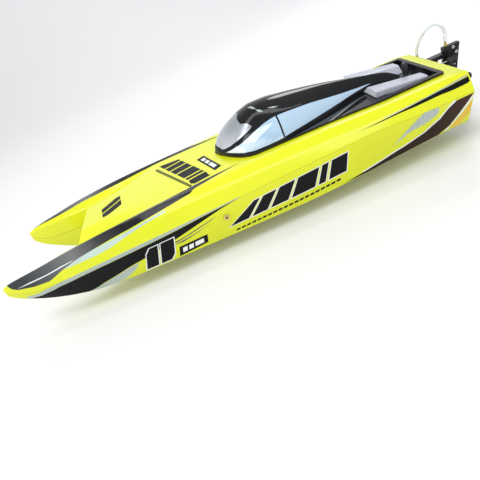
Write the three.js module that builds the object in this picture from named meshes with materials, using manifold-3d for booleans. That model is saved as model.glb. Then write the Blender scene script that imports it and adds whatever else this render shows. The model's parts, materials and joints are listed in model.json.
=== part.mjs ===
// Radio-controlled racing catamaran, 70 cm class: a yellow two-piece hull, a lift-off black canopy,
// one motor on a straight shaft to a propeller behind the transom, and an offset rudder with
// a water pick-up. Millimetres. +X is the bow, +Y is port, +Z is up. The parts are drawn in hull
// coordinates: x from the transom, y from the centreline, z from the flat keel pads.
import * as THREE from 'three';
import { mergeVertices } from 'three/addons/utils/BufferGeometryUtils.js';
import Module from 'manifold-3d';

const wasm = await Module();
wasm.setup();

// ---------------------------------------------------------------- driving dimensions
const HULL_LENGTH = 700;
const HULL_WALL = 2.2;
const GAP = 0.3; // clearance between touching pieces
const FAR = 160; // a length outside the hull in every direction

// Hull lines of the port side: [x, half breadth, height].
const RIDGE = [
  [0, 74, 80], [22, 76, 83], [100, 77, 84.5], [200, 77, 88], [343, 76.5, 89.5], [441, 77, 87.5],
  [517, 76.5, 84], [595, 78, 79], [635, 79, 75], [686, 81, 71], [700, 80.4, 67],
];
// The raised centre panel of the foredeck, and the valley between it and the ridge. Ahead of the
// deck's leading edge the valley line is the top edge of each bow's inner wall.
const PANEL_HALF = [[440, 62], [480, 52], [517, 43], [552, 37], [574, 37], [700, 37]];
const VALLEY = [
  [0, 70, 0], [440, 70, 0], [480, 70, 2.5], [520, 70, 6.5], [560, 70, 11.5], [586, 70, 13.5],
  [634, 70.5, 7.5], [665, 72.5, 5.5], [690, 76.5, 2.5], [700, 79, 2],
]; // [x, half breadth, depth under the ridge]
const RIM = [
  [0, 76, 79.5], [22, 78, 82.6], [100, 80.5, 84.3], [200, 82, 87.8], [343, 83, 89.3],
  [441, 84.5, 89], [517, 87, 87.2], [595, 88.3, 82.2], [635, 87.2, 77.6], [686, 83.2, 71.2],
  [700, 81, 66.5],
]; // the outer edge of the narrow ledge outside the ridge
const SHOULDER = [
  [0, 79, 76], [40, 85, 75], [110, 89, 75], [343, 90, 77], [560, 89.5, 69], [635, 88, 63],
  [686, 84, 61], [700, 81.5, 62],
];
const SEAM = [
  [0, 89, 55], [80, 92.5, 57], [137, 94, 60], [250, 95, 58], [342, 95, 55], [448, 95, 51],
  [510, 94.5, 49], [560, 93, 47], [621, 90, 45], [654, 87.3, 44.5], [685, 83.5, 50], [700, 81.5, 57.5],
];
const CHINE = [
  [0, 70, 8], [50, 76, 8], [110, 82, 7], [190, 87, 3], [270, 89, 1], [420, 89, 2], [500, 89, 3],
  [580, 87, 7], [610, 85, 12], [640, 83, 20], [670, 81.5, 32], [690, 81, 43], [700, 80.6, 52],
];
const KEEL_PAD = [46, 62]; // half breadths of the flat pad under each sponson
const KEEL_HEIGHT = [
  [0, 0], [190, 0], [420, 0], [500, 0.6], [580, 4], [610, 9], [640, 17.5], [670, 30], [690, 41.5],
  [700, 51],
];
const HULL_STATIONS = [
  0, 22, 50, 110, 190, 270, 343, 440, 480, 517, 552, 574, 586, 604, 621, 640, 654, 670, 680, 690,
  700,
];

// Tunnel between the sponsons: [x, half breadth at the bottom, half breadth at the top, roof].
const TUNNEL = [
  [-10, 42, 36, 28], [430, 42, 36, 28], [480, 42, 36, 33], [520, 43, 36, 43], [550, 45, 36.5, 57],
  [574, 48, 37, 77.5], [575.5, 48, 41, 112], [586, 51, 69.5, 112], [612, 57, 70, 112],
  [634, 62, 70.5, 112], [665, 70, 72.5, 112], [690, 76, 76.5, 112], [710, 80, 80.5, 112],
];
const TUNNEL_CORNER = 6;
const WALL_TOP = 66; // the bows' inner walls lean from here down to the keel

// Canopy outline: a parabolic nose, parallel sides and a slightly narrower tail.
const CANOPY_NOSE_X = 350;
const CANOPY_SHOULDER_X = 294;
const CANOPY_HALF = 67;
const CANOPY_WAIST_X = 118;
const CANOPY_TAIL_X = 22.5;
const CANOPY_TAIL_HALF = 62;
const HATCH_INSET = 4; // deck opening inside the canopy outline
const FLANGE_LOW = 1.6; // canopy flange over the deck, bottom and top
const FLANGE_TOP = 3.4;
const TRAY_WALL = 2;
const TRAY_FLOOR = 77;
const TRAY_RAMP = [66, 104]; // the tray floor climbs to the flange between these stations

// Canopy bubble: roof height on the centreline, upper and lower edges of the side windows.
const ROOF = [
  [349, 93], [346, 101], [340, 108.5], [331, 116], [315, 125], [292, 134], [275, 137.5], [257, 137],
  [230, 133], [201, 128], [171, 122], [139, 114], [112, 107], [76, 97], [58, 86],
];
const BROW = [
  [349, 1.2, 92.5], [343, 17, 95], [330, 33, 104], [315, 39.5, 112], [292, 42, 118], [255, 40, 122],
  [215, 34, 117], [162, 22, 105], [126, 12.5, 98], [100, 8.5, 95], [58, 6, 82],
];
const SILL = [
  [349, 1.6, 91.6], [343, 15.8, 92.2], [333, 34.5, 92.8], [321, 49.5, 93], [308, 60.5, 93],
  [294, 64.5, 93], [262, 64, 93], [232, 57, 93.5], [199, 47, 94], [163, 33, 94.5], [126, 16, 93.5],
  [100, 10, 92], [58, 7, 80],
];
const BUBBLE_STATIONS = [
  349, 346, 340, 333, 321, 308, 292, 275, 257, 232, 199, 163, 126, 100, 76, 58,
];
const BUBBLE_WALL = 2;

// Drive line: straight, climbing from the propeller to the motor. Stations along it are
// distances from the propeller centre.
const PROPELLER_AT = [-36, 0, 3];
const DRIVE_ANGLE = 0.164; // radians
const PROPELLER_RADIUS = 19;
const SHAFT_RADIUS = 2;
const MOTOR_FACE = 300;
const MOTOR_LENGTH = 60;
const MOTOR_RADIUS = 18;

// Steering: parallel arms on the rudder and the servo, joined by the pushrod.
const RUDDER_AXIS = [-42, -41];
const SERVO_AXIS_X = 57;
const ARM_LENGTH = 18;
const LINK_HEIGHT = 60;
const ROD_HEIGHT = LINK_HEIGHT + 4;
const RUDDER_BOTTOM = -22;
const RUDDER_TOP = 80;
const RUDDER_TAIL_X = -62;

const KNOB_X = 46;
const OUTLET_AT = [370, 92.8, 35];
const HOSE_RADIUS = 2.5;

const boat = new THREE.Group();

// ---------------------------------------------------------------- shape helpers
// Smooth monotone curve through table rows [x, value, value, ...]; returns one column at x.
function valueAt(table, x, column = 1) {
  const last = table.length - 1;
  const rising = table[last][0] > table[0][0];
  const rows = rising ? table : [...table].reverse();
  const at = Math.min(Math.max(x, rows[0][0]), rows[last][0]);
  let i = 0;
  while (i < last - 1 && at > rows[i + 1][0]) i += 1;
  const slope = (k) => (rows[k + 1][column] - rows[k][column]) / (rows[k + 1][0] - rows[k][0]);
  const tangent = (k) => {
    if (k === 0) return slope(0);
    if (k === last) return slope(last - 1);
    const before = slope(k - 1);
    const after = slope(k);
    return before * after <= 0 ? 0 : (2 * before * after) / (before + after);
  };
  const span = rows[i + 1][0] - rows[i][0];
  const t = (at - rows[i][0]) / span;
  const t2 = t * t;
  const t3 = t2 * t;
  return (
    (2 * t3 - 3 * t2 + 1) * rows[i][column] + (t3 - 2 * t2 + t) * span * tangent(i) +
    (3 * t2 - 2 * t3) * rows[i + 1][column] + (t3 - t2) * span * tangent(i + 1)
  );
}

// A closed solid through rings of [x, y, z] points. The two end rings are capped; flat names
// the axis that an end ring is flat along.
function loft(rings, flat = 0) {
  const count = rings[0].length;
  const positions = rings.flat(2);
  const faces = [];
  for (let i = 0; i < rings.length - 1; i += 1) {
    for (let j = 0; j < count; j += 1) {
      const k = (j + 1) % count;
      const a = i * count + j;
      const b = i * count + k;
      faces.push([a, b, b + count], [a, b + count, a + count]);
    }
  }
  const [u, v] = [0, 1, 2].filter((axis) => axis !== flat);
  for (const [ring, sense] of [[0, -1], [rings.length - 1, 1]]) {
    const contour = rings[ring].map((p) => new THREE.Vector2(p[u], p[v]));
    const turn = Math.sign(THREE.ShapeUtils.area(contour)) * sense;
    for (const [a, b, c] of THREE.ShapeUtils.triangulateShape(contour, [])) {
      const corners = [contour[a], contour[b], contour[c]];
      const same = Math.sign(THREE.ShapeUtils.area(corners)) === turn;
      faces.push((same ? [a, b, c] : [a, c, b]).map((index) => index + ring * count));
    }
  }
  const geometry = new THREE.BufferGeometry();
  geometry.setAttribute('position', new THREE.Float32BufferAttribute(positions, 3));
  geometry.setIndex(faces.flat());
  if (signedVolume(geometry) < 0) geometry.setIndex(faces.map(([a, b, c]) => [a, c, b]).flat());
  return geometry;
}

function signedVolume(geometry) {
  const position = geometry.getAttribute('position');
  const index = geometry.getIndex();
  const [a, b, c] = [new THREE.Vector3(), new THREE.Vector3(), new THREE.Vector3()];
  let volume = 0;
  for (let i = 0; i < index.count; i += 3) {
    a.fromBufferAttribute(position, index.getX(i));
    b.fromBufferAttribute(position, index.getX(i + 1));
    c.fromBufferAttribute(position, index.getX(i + 2));
    volume += a.dot(b.cross(c)) / 6;
  }
  return volume;
}

// A full ring at x from its port half, listed from the top centre to the bottom centre.
function mirroredRing(x, half) {
  const port = half.map(([y, z]) => [x, y, z]);
  const starboard = half.slice(1, -1).reverse().map(([y, z]) => [x, -y, z]);
  return [...port, ...starboard];
}

function solid(geometry) {
  const bare = geometry.clone();
  bare.deleteAttribute('normal');
  bare.deleteAttribute('uv');
  const merged = mergeVertices(bare, 1e-4);
  return new wasm.Manifold(new wasm.Mesh({
    numProp: 3,
    vertProperties: Float32Array.from(merged.getAttribute('position').array),
    triVerts: Uint32Array.from(merged.getIndex().array),
  }));
}

function surface(manifold) {
  const mesh = manifold.getMesh();
  const geometry = new THREE.BufferGeometry();
  geometry.setAttribute('position', new THREE.BufferAttribute(mesh.vertProperties, 3));
  geometry.setIndex(new THREE.BufferAttribute(mesh.triVerts, 1));
  return geometry;
}

const join = (first, ...others) =>
  surface(others.reduce((sum, piece) => sum.add(solid(piece)), solid(first)));
const cut = (first, ...tools) =>
  surface(tools.reduce((rest, tool) => rest.subtract(solid(tool)), solid(first)));
const common = (first, ...others) =>
  surface(others.reduce((rest, piece) => rest.intersect(solid(piece)), solid(first)));

function box([x0, x1], [y0, y1], [z0, z1]) {
  const geometry = new THREE.BoxGeometry(Math.abs(x1 - x0), Math.abs(y1 - y0), Math.abs(z1 - z0));
  return geometry.translate((x0 + x1) / 2, (y0 + y1) / 2, (z0 + z1) / 2);
}

// A cylinder or cone along an axis ('x', 'y' or 'z') from one station to another. centre holds
// the other two coordinates, in order.
function rod(axis, from, to, centre, radius, sides = 16, endRadius = radius) {
  const geometry = new THREE.CylinderGeometry(endRadius, radius, to - from, sides);
  geometry.translate(0, (from + to) / 2, 0);
  if (axis === 'x') {
    geometry.rotateZ(-Math.PI / 2);
    return geometry.translate(0, centre[0], centre[1]);
  }
  if (axis === 'y') return geometry.translate(centre[0], 0, centre[1]);
  geometry.rotateX(Math.PI / 2);
  return geometry.translate(centre[0], centre[1], 0);
}

// A flat plate of an outline of [x, y] points between two heights.
function plate(outline, low, high) {
  const shape = new THREE.Shape(outline.map(([x, y]) => new THREE.Vector2(x, y)));
  const geometry = new THREE.ExtrudeGeometry(shape, { depth: high - low, bevelEnabled: false });
  return geometry.translate(0, 0, low);
}

// A plate standing in the XZ plane, from an outline of [x, z] points, between two breadths.
function standing(outline, [y0, y1]) {
  const shape = new THREE.Shape(outline.map(([x, z]) => new THREE.Vector2(x, z)));
  const geometry = new THREE.ExtrudeGeometry(shape, { depth: y1 - y0, bevelEnabled: false });
  return geometry.rotateX(Math.PI / 2).translate(0, y1, 0);
}

// A ring of revolution around the drive line or another X axis: a tube with a bore.
function tube(from, to, centre, radius, bore, sides = 16) {
  return cut(
    rod('x', from, to, centre, radius, sides),
    rod('x', from - 1, to + 1, centre, bore, sides),
  );
}

// A round hose through hand-placed points.
function hose(points, radius, steps) {
  const route = new THREE.CatmullRomCurve3(points.map((p) => new THREE.Vector3(...p)));
  const section = new THREE.Shape();
  const sides = 8;
  for (let i = 0; i < sides; i += 1) {
    const angle = (2 * Math.PI * i) / sides;
    const corner = [radius * Math.cos(angle), radius * Math.sin(angle)];
    if (i === 0) section.moveTo(...corner);
    else section.lineTo(...corner);
  }
  section.closePath();
  return new THREE.ExtrudeGeometry(section, { steps, extrudePath: route, bevelEnabled: false });
}

// ---------------------------------------------------------------- finishes
function finish(color, roughness, metalness = 0) {
  return () => new THREE.MeshStandardMaterial({ color, roughness, metalness });
}
const yellowGloss = finish(0xdce41c, 0.25);
const blackGloss = finish(0x0c0c0e, 0.12);
const blackAlloy = finish(0x17181a, 0.4, 0.6);
const blackPlastic = finish(0x1a1b1d, 0.55);
const greyPlastic = finish(0x4a4d52, 0.6);
const silverTrim = finish(0xc9cdd2, 0.25, 0.7);
const steel = finish(0xb9bcc0, 0.3, 0.95);
const brass = finish(0xb89a52, 0.35, 0.9);
const silicone = finish(0xe6e8ea, 0.35);
const rubber = finish(0x202022, 0.85);
const blueAlloy = finish(0x2c55b8, 0.35, 0.7);
const batteryWrap = finish(0x1f4fa0, 0.45);
const foam = finish(0xe9e6dc, 0.95);
const propellerNylon = finish(0x232426, 0.4);

function add(name, geometry, material, parent = boat) {
  const mesh = new THREE.Mesh(geometry, material());
  mesh.name = name;
  parent.add(mesh);
  return mesh;
}

// ---------------------------------------------------------------- hull
const deckHeight = (x) => valueAt(RIDGE, x, 2);

// Half section of the closed hull form; a positive inset moves it inwards.
function hullHalf(x, inset) {
  const keel = valueAt(KEEL_HEIGHT, x) + inset;
  const chine = [valueAt(CHINE, x, 1) - inset, valueAt(CHINE, x, 2) + inset];
  const padOuter = Math.min(KEEL_PAD[1] + Math.max(0, (x - 560) * 0.13), chine[0] - 1.5);
  const deck = deckHeight(x) - inset;
  return [
    [0, deck],
    [valueAt(PANEL_HALF, x) - 0.2 * inset, deck],
    [valueAt(VALLEY, x, 1), deck - valueAt(VALLEY, x, 2)],
    [valueAt(RIDGE, x, 1) - 0.4 * inset, deck],
    [valueAt(RIM, x, 1) - inset, valueAt(RIM, x, 2) - inset],
    [valueAt(SHOULDER, x, 1) - inset, valueAt(SHOULDER, x, 2) - 0.5 * inset],
    [valueAt(SEAM, x, 1) - inset, valueAt(SEAM, x, 2)],
    chine,
    [padOuter, Math.min(keel, chine[1] - 0.2)],
    [KEEL_PAD[0] - 8, Math.min(keel, chine[1] - 0.2)],
    [0, Math.min(keel, chine[1] - 0.2)],
  ];
}

function hullForm(inset = 0) {
  const first = inset;
  const last = HULL_LENGTH - 5 * inset;
  const inner = HULL_STATIONS.filter((x) => x > first && x < last);
  return loft([first, ...inner, last].map((x) => mirroredRing(x, hullHalf(x, inset))));
}

function tunnelForm(outset = 0) {
  return loft(TUNNEL.map(([x, bottom, top, roof]) => mirroredRing(x, [
    [0, roof + outset],
    [top - TUNNEL_CORNER, roof + outset],
    [top + outset, roof + outset - TUNNEL_CORNER],
    [top + outset, Math.min(roof - TUNNEL_CORNER - 1, WALL_TOP)],
    [bottom + outset, 0],
    [bottom + outset, -FAR],
    [0, -FAR],
  ])));
}

// Everything below the seam between the lower hull and the deck.
function belowSeam(rise) {
  const stations = [-20, ...HULL_STATIONS.slice(1, -1), HULL_LENGTH + 20];
  return loft(stations.map((x) => mirroredRing(x, [
    [0, valueAt(SEAM, x, 2) + rise],
    [FAR, valueAt(SEAM, x, 2) + rise],
    [FAR, -FAR],
    [0, -FAR],
  ])));
}

// Canopy outline as a closed list of [x, y] points, drawn inwards by an inset.
function canopyOutline(inset) {
  const noseLength = CANOPY_NOSE_X - CANOPY_SHOULDER_X;
  const port = [];
  const steps = 7;
  for (let i = 0; i <= steps; i += 1) {
    const t = Math.cos((Math.PI / 2) * (i / steps));
    port.push([
      CANOPY_SHOULDER_X + (noseLength - inset) * t,
      (CANOPY_HALF - inset) * (1 - t * t),
    ]);
  }
  port.push([CANOPY_WAIST_X, CANOPY_HALF - inset]);
  port.push([CANOPY_TAIL_X + inset, CANOPY_TAIL_HALF - inset]);
  const starboard = port.slice(1).reverse().map(([x, y]) => [x, -y]);
  return [...port, ...starboard];
}

// A layer that follows the deck between two heights over it.
function overDeck(low, high) {
  const stations = [-5, 22, 50, 110, 190, 270, 343, 420];
  return loft(stations.map((x) => mirroredRing(x, [
    [0, deckHeight(x) + high],
    [FAR, deckHeight(x) + high],
    [FAR, deckHeight(x) + low],
    [0, deckHeight(x) + low],
  ])));
}

// The drive line's own axes: local +X runs from the propeller to the motor.
const drive = new THREE.Group();
drive.position.set(...PROPELLER_AT);
drive.rotation.y = -DRIVE_ANGLE;
drive.updateMatrixWorld();
boat.add(drive);
const onDrive = (geometry) => geometry.clone().applyMatrix4(drive.matrixWorld);

const STUFFING_RADIUS = 3.5;
const RUDDER_PIN_RADIUS = 1.6;
const DRAIN_AT = [69, 70];
const NIPPLE_AT = [-64, 66];
const pushrodY = RUDDER_AXIS[1] + ARM_LENGTH;

function hullShell() {
  const cavity = cut(hullForm(HULL_WALL), tunnelForm(HULL_WALL));
  return cut(hullForm(), tunnelForm(), cavity);
}

function lowerHull() {
  return cut(
    common(hullShell(), belowSeam(0)),
    onDrive(rod('x', 30, 262, [0, 0], STUFFING_RADIUS + GAP)),
    rod('y', 80, 100, [OUTLET_AT[0], OUTLET_AT[2]], 3.1, 12),
  );
}

function upperDeck() {
  return cut(
    hullShell(),
    belowSeam(GAP),
    plate(canopyOutline(HATCH_INSET), 60, 120),
    rod('x', -5, 8, [pushrodY, ROD_HEIGHT], 2.2, 12),
    rod('x', -5, 8, NIPPLE_AT, 2.3, 12),
    rod('x', -5, 8, DRAIN_AT, 2.8, 12),
  );
}

function hatchGasket() {
  const ring = cut(plate(canopyOutline(0.8), 60, 120), plate(canopyOutline(HATCH_INSET), 50, 130));
  return common(ring, overDeck(GAP, FLANGE_LOW - GAP));
}

// ---------------------------------------------------------------- canopy
const BUBBLE_CROWN = [0, 0.35, 0.7]; // fractions of the brow's half breadth

function bubbleHalf(x, inset, footHeight) {
  const top = valueAt(ROOF, x) - inset;
  const browY = Math.max(valueAt(BROW, x, 1) - inset, 0.6);
  const browZ = Math.min(valueAt(BROW, x, 2) - 0.6 * inset, top - 0.2);
  const sillY = Math.max(valueAt(SILL, x, 1) - inset, browY + 0.2);
  const sillZ = Math.min(valueAt(SILL, x, 2), browZ - 0.2);
  const bulge = 0.08 * (browZ - sillZ);
  const crown = BUBBLE_CROWN.map((s) => [
    s * browY,
    browZ + (top - browZ) * Math.cos((Math.PI / 2) * s),
  ]);
  return [
    ...crown,
    [browY, browZ],
    [(browY + sillY) / 2 + bulge, (browZ + sillZ) / 2 + bulge],
    [sillY, sillZ],
    [sillY + 0.8, Math.min(footHeight, sillZ - 0.3)],
    [0, Math.min(footHeight, sillZ - 0.3)],
  ];
}

function trayFloor(x) {
  const [flat, high] = TRAY_RAMP;
  if (x >= high) return deckHeight(x) + FLANGE_TOP;
  const t = Math.max((x - flat) / (high - flat), 0);
  return TRAY_FLOOR + t * (deckHeight(high) + FLANGE_TOP - TRAY_FLOOR);
}

const tailHalf = (x) => {
  const t = (CANOPY_WAIST_X - x) / (CANOPY_WAIST_X - CANOPY_TAIL_X);
  return CANOPY_HALF + (CANOPY_TAIL_HALF - CANOPY_HALF) * t;
};

// The recessed tail: a tray that hangs through the hatch, open above.
function tailTray() {
  const outer = HATCH_INSET + GAP + 0.2;
  const inner = outer + TRAY_WALL;
  const ring = (x, half, low, high) =>
    mirroredRing(x, [[0, high], [half, high], [half, low], [0, low]]);
  const [flat, high] = TRAY_RAMP;
  const tail = CANOPY_TAIL_X;
  const body = loft([tail + outer, flat, high].map((x) =>
    ring(x, tailHalf(x) - outer, trayFloor(x) - TRAY_WALL, deckHeight(x) + FLANGE_LOW + 0.5)));
  const recess = loft([tail + inner, flat, high].map((x) =>
    ring(x, tailHalf(x) - inner, trayFloor(x), FAR)));
  return { body, recess };
}

function canopy() {
  const flange = common(plate(canopyOutline(0), 60, 120), overDeck(FLANGE_LOW, FLANGE_TOP));
  const tray = tailTray();
  const foot = (x) => trayFloor(x) - 0.6;
  const bubble = loft(BUBBLE_STATIONS.map((x) => mirroredRing(x, bubbleHalf(x, 0, foot(x)))));
  const hollow = BUBBLE_STATIONS.filter((x) => x < 345 && x > 110);
  const cavity = loft(hollow.map((x) =>
    mirroredRing(x, bubbleHalf(x, BUBBLE_WALL, deckHeight(x) - 8))));
  return cut(
    join(cut(join(flange, tray.body), tray.recess), bubble),
    cavity,
    rod('z', 60, 90, [KNOB_X, 0], 2.1, 12),
  );
}

// Air scoops beside the spine: a straight moulding that narrows and drops to the stern.
const SCOOP_FRONT = { x: 118, base: [15, 56], top: [30, 57.5], height: 99 };
const SCOOP_REAR = { x: 40, base: [22, 52], top: [31, 51], height: 87 };

function scoop(side) {
  const ring = ({ x, base, top, height }) => {
    const low = trayFloor(x) + GAP;
    const outline = [
      [base[0], low], [base[1], low], [top[1], height - 1.5], [top[1] - 1.5, height],
      [top[0] + 1, height], [top[0] - 0.5, height - 1],
    ];
    return outline.map(([y, z]) => [x, side * y, z]);
  };
  const between = (x) => {
    const t = (SCOOP_FRONT.x - x) / (SCOOP_FRONT.x - SCOOP_REAR.x);
    const mix = (a, b) => a + (b - a) * t;
    return {
      x,
      base: SCOOP_FRONT.base.map((value, i) => mix(value, SCOOP_REAR.base[i])),
      top: SCOOP_FRONT.top.map((value, i) => mix(value, SCOOP_REAR.top[i])),
      height: mix(SCOOP_FRONT.height, SCOOP_REAR.height),
    };
  };
  return loft([SCOOP_FRONT, between(TRAY_RAMP[1]), between(TRAY_RAMP[0]), SCOOP_REAR].map(ring));
}

// The lock: a tall knob on a stud that turns in a bracket under the tray.
const KNOB_PROFILE = [
  [0, 63], [1.7, 63], [1.7, 77.6], [7, 77.6], [7, 79.2], [4, 80.2], [4, 86], [4.6, 87], [4.6, 96],
  [3.2, 99], [0, 99],
];

function lockKnob() {
  const turned = new THREE.LatheGeometry(KNOB_PROFILE.map((p) => new THREE.Vector2(...p)), 16);
  return turned.rotateX(Math.PI / 2).translate(KNOB_X, 0, 0);
}

function lockBracket() {
  const arm = box([HULL_WALL + GAP, KNOB_X + 10], [-10, 10], [66, 69]);
  const foot = box([HULL_WALL + GAP, HULL_WALL + GAP + 3], [-10, 10], [58, 69]);
  return cut(join(arm, foot), rod('z', 60, 75, [KNOB_X, 0], 2.1, 12));
}

add('lower_hull', lowerHull(), yellowGloss);
add('upper_deck', upperDeck(), yellowGloss);
add('hatch_gasket', hatchGasket(), rubber);
add('canopy', canopy(), blackGloss);
add('scoop_port', scoop(1), silverTrim);
add('scoop_starboard', scoop(-1), silverTrim);
add('lock_knob', lockKnob(), blackPlastic);
add('lock_bracket', lockBracket(), blackPlastic);

// ---------------------------------------------------------------- hull fittings
function outletFitting() {
  const [x, y, z] = OUTLET_AT;
  const flange = rod('y', y + 0.8, y + 2.6, [x, z], 4.4, 16);
  const stem = rod('y', y - 13, y + 1, [x, z], 2.8, 16);
  return cut(join(flange, stem), rod('y', y - 14, y + 4, [x, z], 1.6, 12));
}

function drainPlug() {
  return join(rod('x', -8, -GAP, DRAIN_AT, 4, 14, 4.4), rod('x', -1, 6, DRAIN_AT, 2.5, 14));
}

// An elbow: a barb inside the hull, a flange on the transom and a barb that points up.
const NIPPLE_REACH = 7;
const NIPPLE_TOP = 77;

function transomNipple() {
  const [y, z] = NIPPLE_AT;
  const stem = rod('x', -NIPPLE_REACH - 2, 9, [y, z], 2, 12);
  const flange = rod('x', -3, -GAP, [y, z], 4, 12);
  const barb = rod('z', z - 2, NIPPLE_TOP, [-NIPPLE_REACH, y], 2, 12);
  const bore = join(
    rod('x', -NIPPLE_REACH, 10, [y, z], 1.1, 10),
    rod('z', z, NIPPLE_TOP + 1, [-NIPPLE_REACH, y], 1.1, 10),
  );
  return cut(join(stem, flange, barb), bore);
}

add('outlet_fitting', outletFitting(), brass);
add('drain_plug', drainPlug(), rubber);
add('transom_nipple', transomNipple(), brass);

// ---------------------------------------------------------------- rudder and steering
const BRACKET_Y = [-53.5, -28.5];
const BRACKET_Z = [34, 78];
const LUG_RADIUS = 6;
const LUGS = [[36, 42], [66, 72]];
const HEAD_HALF = 4.5;

function rudderBracket() {
  const [axisX, axisY] = RUDDER_AXIS;
  const base = box([-3.3, -GAP], BRACKET_Y, BRACKET_Z);
  const lugs = LUGS.flatMap((height) => [
    box([axisX, -3], [axisY - LUG_RADIUS, axisY + LUG_RADIUS], height),
    rod('z', height[0], height[1], RUDDER_AXIS, LUG_RADIUS, 16),
  ]);
  const web = box([-26, -3], [axisY - 2, axisY + 2], [LUGS[0][0] + 1, LUGS[1][1] - 1]);
  const ribs = [46, 52, 58].map((z) => box([-18, -3], [axisY - 5, axisY + 5], [z, z + 2]));
  const holes = screwSeats().map(([y, z]) => rod('x', -5, 2, [y, z], 1.9, 8));
  const pinHole = rod('z', 30, 80, RUDDER_AXIS, RUDDER_PIN_RADIUS + GAP, 12);
  return cut(join(base, ...lugs, web, ...ribs), ...holes, pinHole);
}

function screwSeats() {
  return [BRACKET_Y[0] + 3.5, BRACKET_Y[1] - 3.5].flatMap((y) =>
    [BRACKET_Z[0] + 4, BRACKET_Z[1] - 4].map((z) => [y, z]));
}

const HEAD_TOP_Z = LUGS[1][1] + 0.5;
const HEAD_SOCKET_Z = [24, LUGS[0][0] - 0.5];
const WEB_X = -49.3;
const WEB_FOOT_X = -51.5;
const HEAD_FRONT_X = -36;

function rudderHead() {
  const [axisX, axisY] = RUDDER_AXIS;
  const wide = [axisY - HEAD_HALF, axisY + HEAD_HALF];
  const knuckle = [LUGS[0][1] + 0.5, LUGS[1][0] - 0.5];
  const side = [
    [RUDDER_TAIL_X, RUDDER_TOP], [HEAD_FRONT_X, RUDDER_TOP], [HEAD_FRONT_X, HEAD_TOP_Z],
    [WEB_X, HEAD_TOP_Z], [WEB_X, HEAD_SOCKET_Z[0]], [WEB_FOOT_X, HEAD_SOCKET_Z[0]],
    [WEB_FOOT_X - 1.7, HEAD_SOCKET_Z[1]],
  ];
  const web = standing(side, wide);
  const socket = box([WEB_FOOT_X + 0.3, HEAD_FRONT_X], wide, HEAD_SOCKET_Z);
  const hub = rod('z', knuckle[0], knuckle[1], RUDDER_AXIS, LUG_RADIUS, 16);
  const arm = box([WEB_X - 1, axisX], wide, knuckle);
  const slot = box([-50.5, -37.5], [axisY - 1.6, axisY + 1.6], [20, 33]);
  const pinHole = rod('z', 40, 70, RUDDER_AXIS, RUDDER_PIN_RADIUS + GAP, 12);
  const nippleHole = rod('z', 76, 85, RUDDER_AXIS, 2.3, 12);
  const tillerSeat = rod('z', LINK_HEIGHT - 3.3, LINK_HEIGHT + 1.3, RUDDER_AXIS, 12, 16);
  const shaved = cut(tillerSeat, rod('z', 50, 70, RUDDER_AXIS, 4.4, 16), rearHalf(axisX - 3));
  const screws = rudderScrewSeats().map(([x, z]) => rod('y', axisY + 1, axisY + 6, [x, z], 1.5, 8));
  return cut(join(web, socket, hub, arm), slot, pinHole, nippleHole, shaved, ...screws);
}

const rearHalf = (x) => box([-FAR, x], [-FAR, FAR], [-FAR, FAR]);

function rudderBlade() {
  const y = RUDDER_AXIS[1];
  const ring = (z, front, tail, half) => [
    [front, y, z], [(front * 2 + tail) / 3, y + half, z], [tail, y + 0.5 * half, z],
    [tail, y - 0.5 * half, z], [(front * 2 + tail) / 3, y - half, z],
  ];
  const blade = loft([
    ring(RUDDER_BOTTOM, -43, -50, 0.8), ring(0, -39.5, -52, 1.2), ring(23.6, -38.5, -51.5, 1.3),
  ], 2);
  return join(blade, box([-50.2, -38], [y - 1.25, y + 1.25], [23, 32.6]));
}

function rudderNipple() {
  const [x, y] = RUDDER_AXIS;
  const stem = rod('z', 77, 87, RUDDER_AXIS, 2, 12);
  const collar = rod('z', RUDDER_TOP + GAP, RUDDER_TOP + 2, RUDDER_AXIS, 3.2, 6);
  return cut(join(stem, collar), rod('z', 78, 88, [x, y], 1.1, 10));
}

function tillerArm() {
  const [x, y] = RUDDER_AXIS;
  const low = LINK_HEIGHT - 3;
  const ring = rod('z', low, LINK_HEIGHT + 1, RUDDER_AXIS, 8, 16);
  const arm = box([x - 3, x + 3], [y, pushrodY + 3], [low, LINK_HEIGHT + 1]);
  return cut(
    join(ring, arm),
    rod('z', 50, 70, RUDDER_AXIS, 4.7, 16),
    rearHalf(x - 3 + GAP),
    rod('z', 50, 70, [x, pushrodY], 1.5, 12),
  );
}

// A pin that hangs down through an arm and up into its clevis.
function linkPin(x) {
  return join(
    rod('z', LINK_HEIGHT - 4, LINK_HEIGHT + 7.4, [x, pushrodY], 1.2, 10),
    rod('z', LINK_HEIGHT - 4.8, LINK_HEIGHT - 3.3, [x, pushrodY], 2.4, 10),
  );
}

// The clevis has a slot across the boat, so that the arm's swing has room.
function clevis(x, toRod) {
  const ends = [x - toRod * 5, x + toRod * 10].sort((a, b) => a - b);
  const body = box(ends, [pushrodY - 5, pushrodY + 4], [LINK_HEIGHT + 1.4, LINK_HEIGHT + 6.6]);
  const slot = box([x - 1.6, x + 1.6], [pushrodY - 4.2, pushrodY + 2], [50, 80]);
  const bore = box([x + toRod * 4, x + toRod * 12].sort((a, b) => a - b),
    [pushrodY - 1.4, pushrodY + 1.4], [LINK_HEIGHT + 2.6, LINK_HEIGHT + 5.4]);
  return cut(body, slot, bore);
}

const RUDDER_ARM_X = RUDDER_AXIS[0];

function servoHorn() {
  const y = RUDDER_AXIS[1];
  const low = LINK_HEIGHT - 3;
  const hub = rod('z', low, LINK_HEIGHT + 1, [SERVO_AXIS_X, y], 5, 16);
  const arm = box([SERVO_AXIS_X - 3, SERVO_AXIS_X + 3], [y, pushrodY + 3], [low, LINK_HEIGHT + 1]);
  return cut(
    join(hub, arm),
    rod('z', 50, 70, [SERVO_AXIS_X, y], 2.4, 12),
    rod('z', 50, 70, [SERVO_AXIS_X, pushrodY], 1.5, 12),
  );
}

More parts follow.
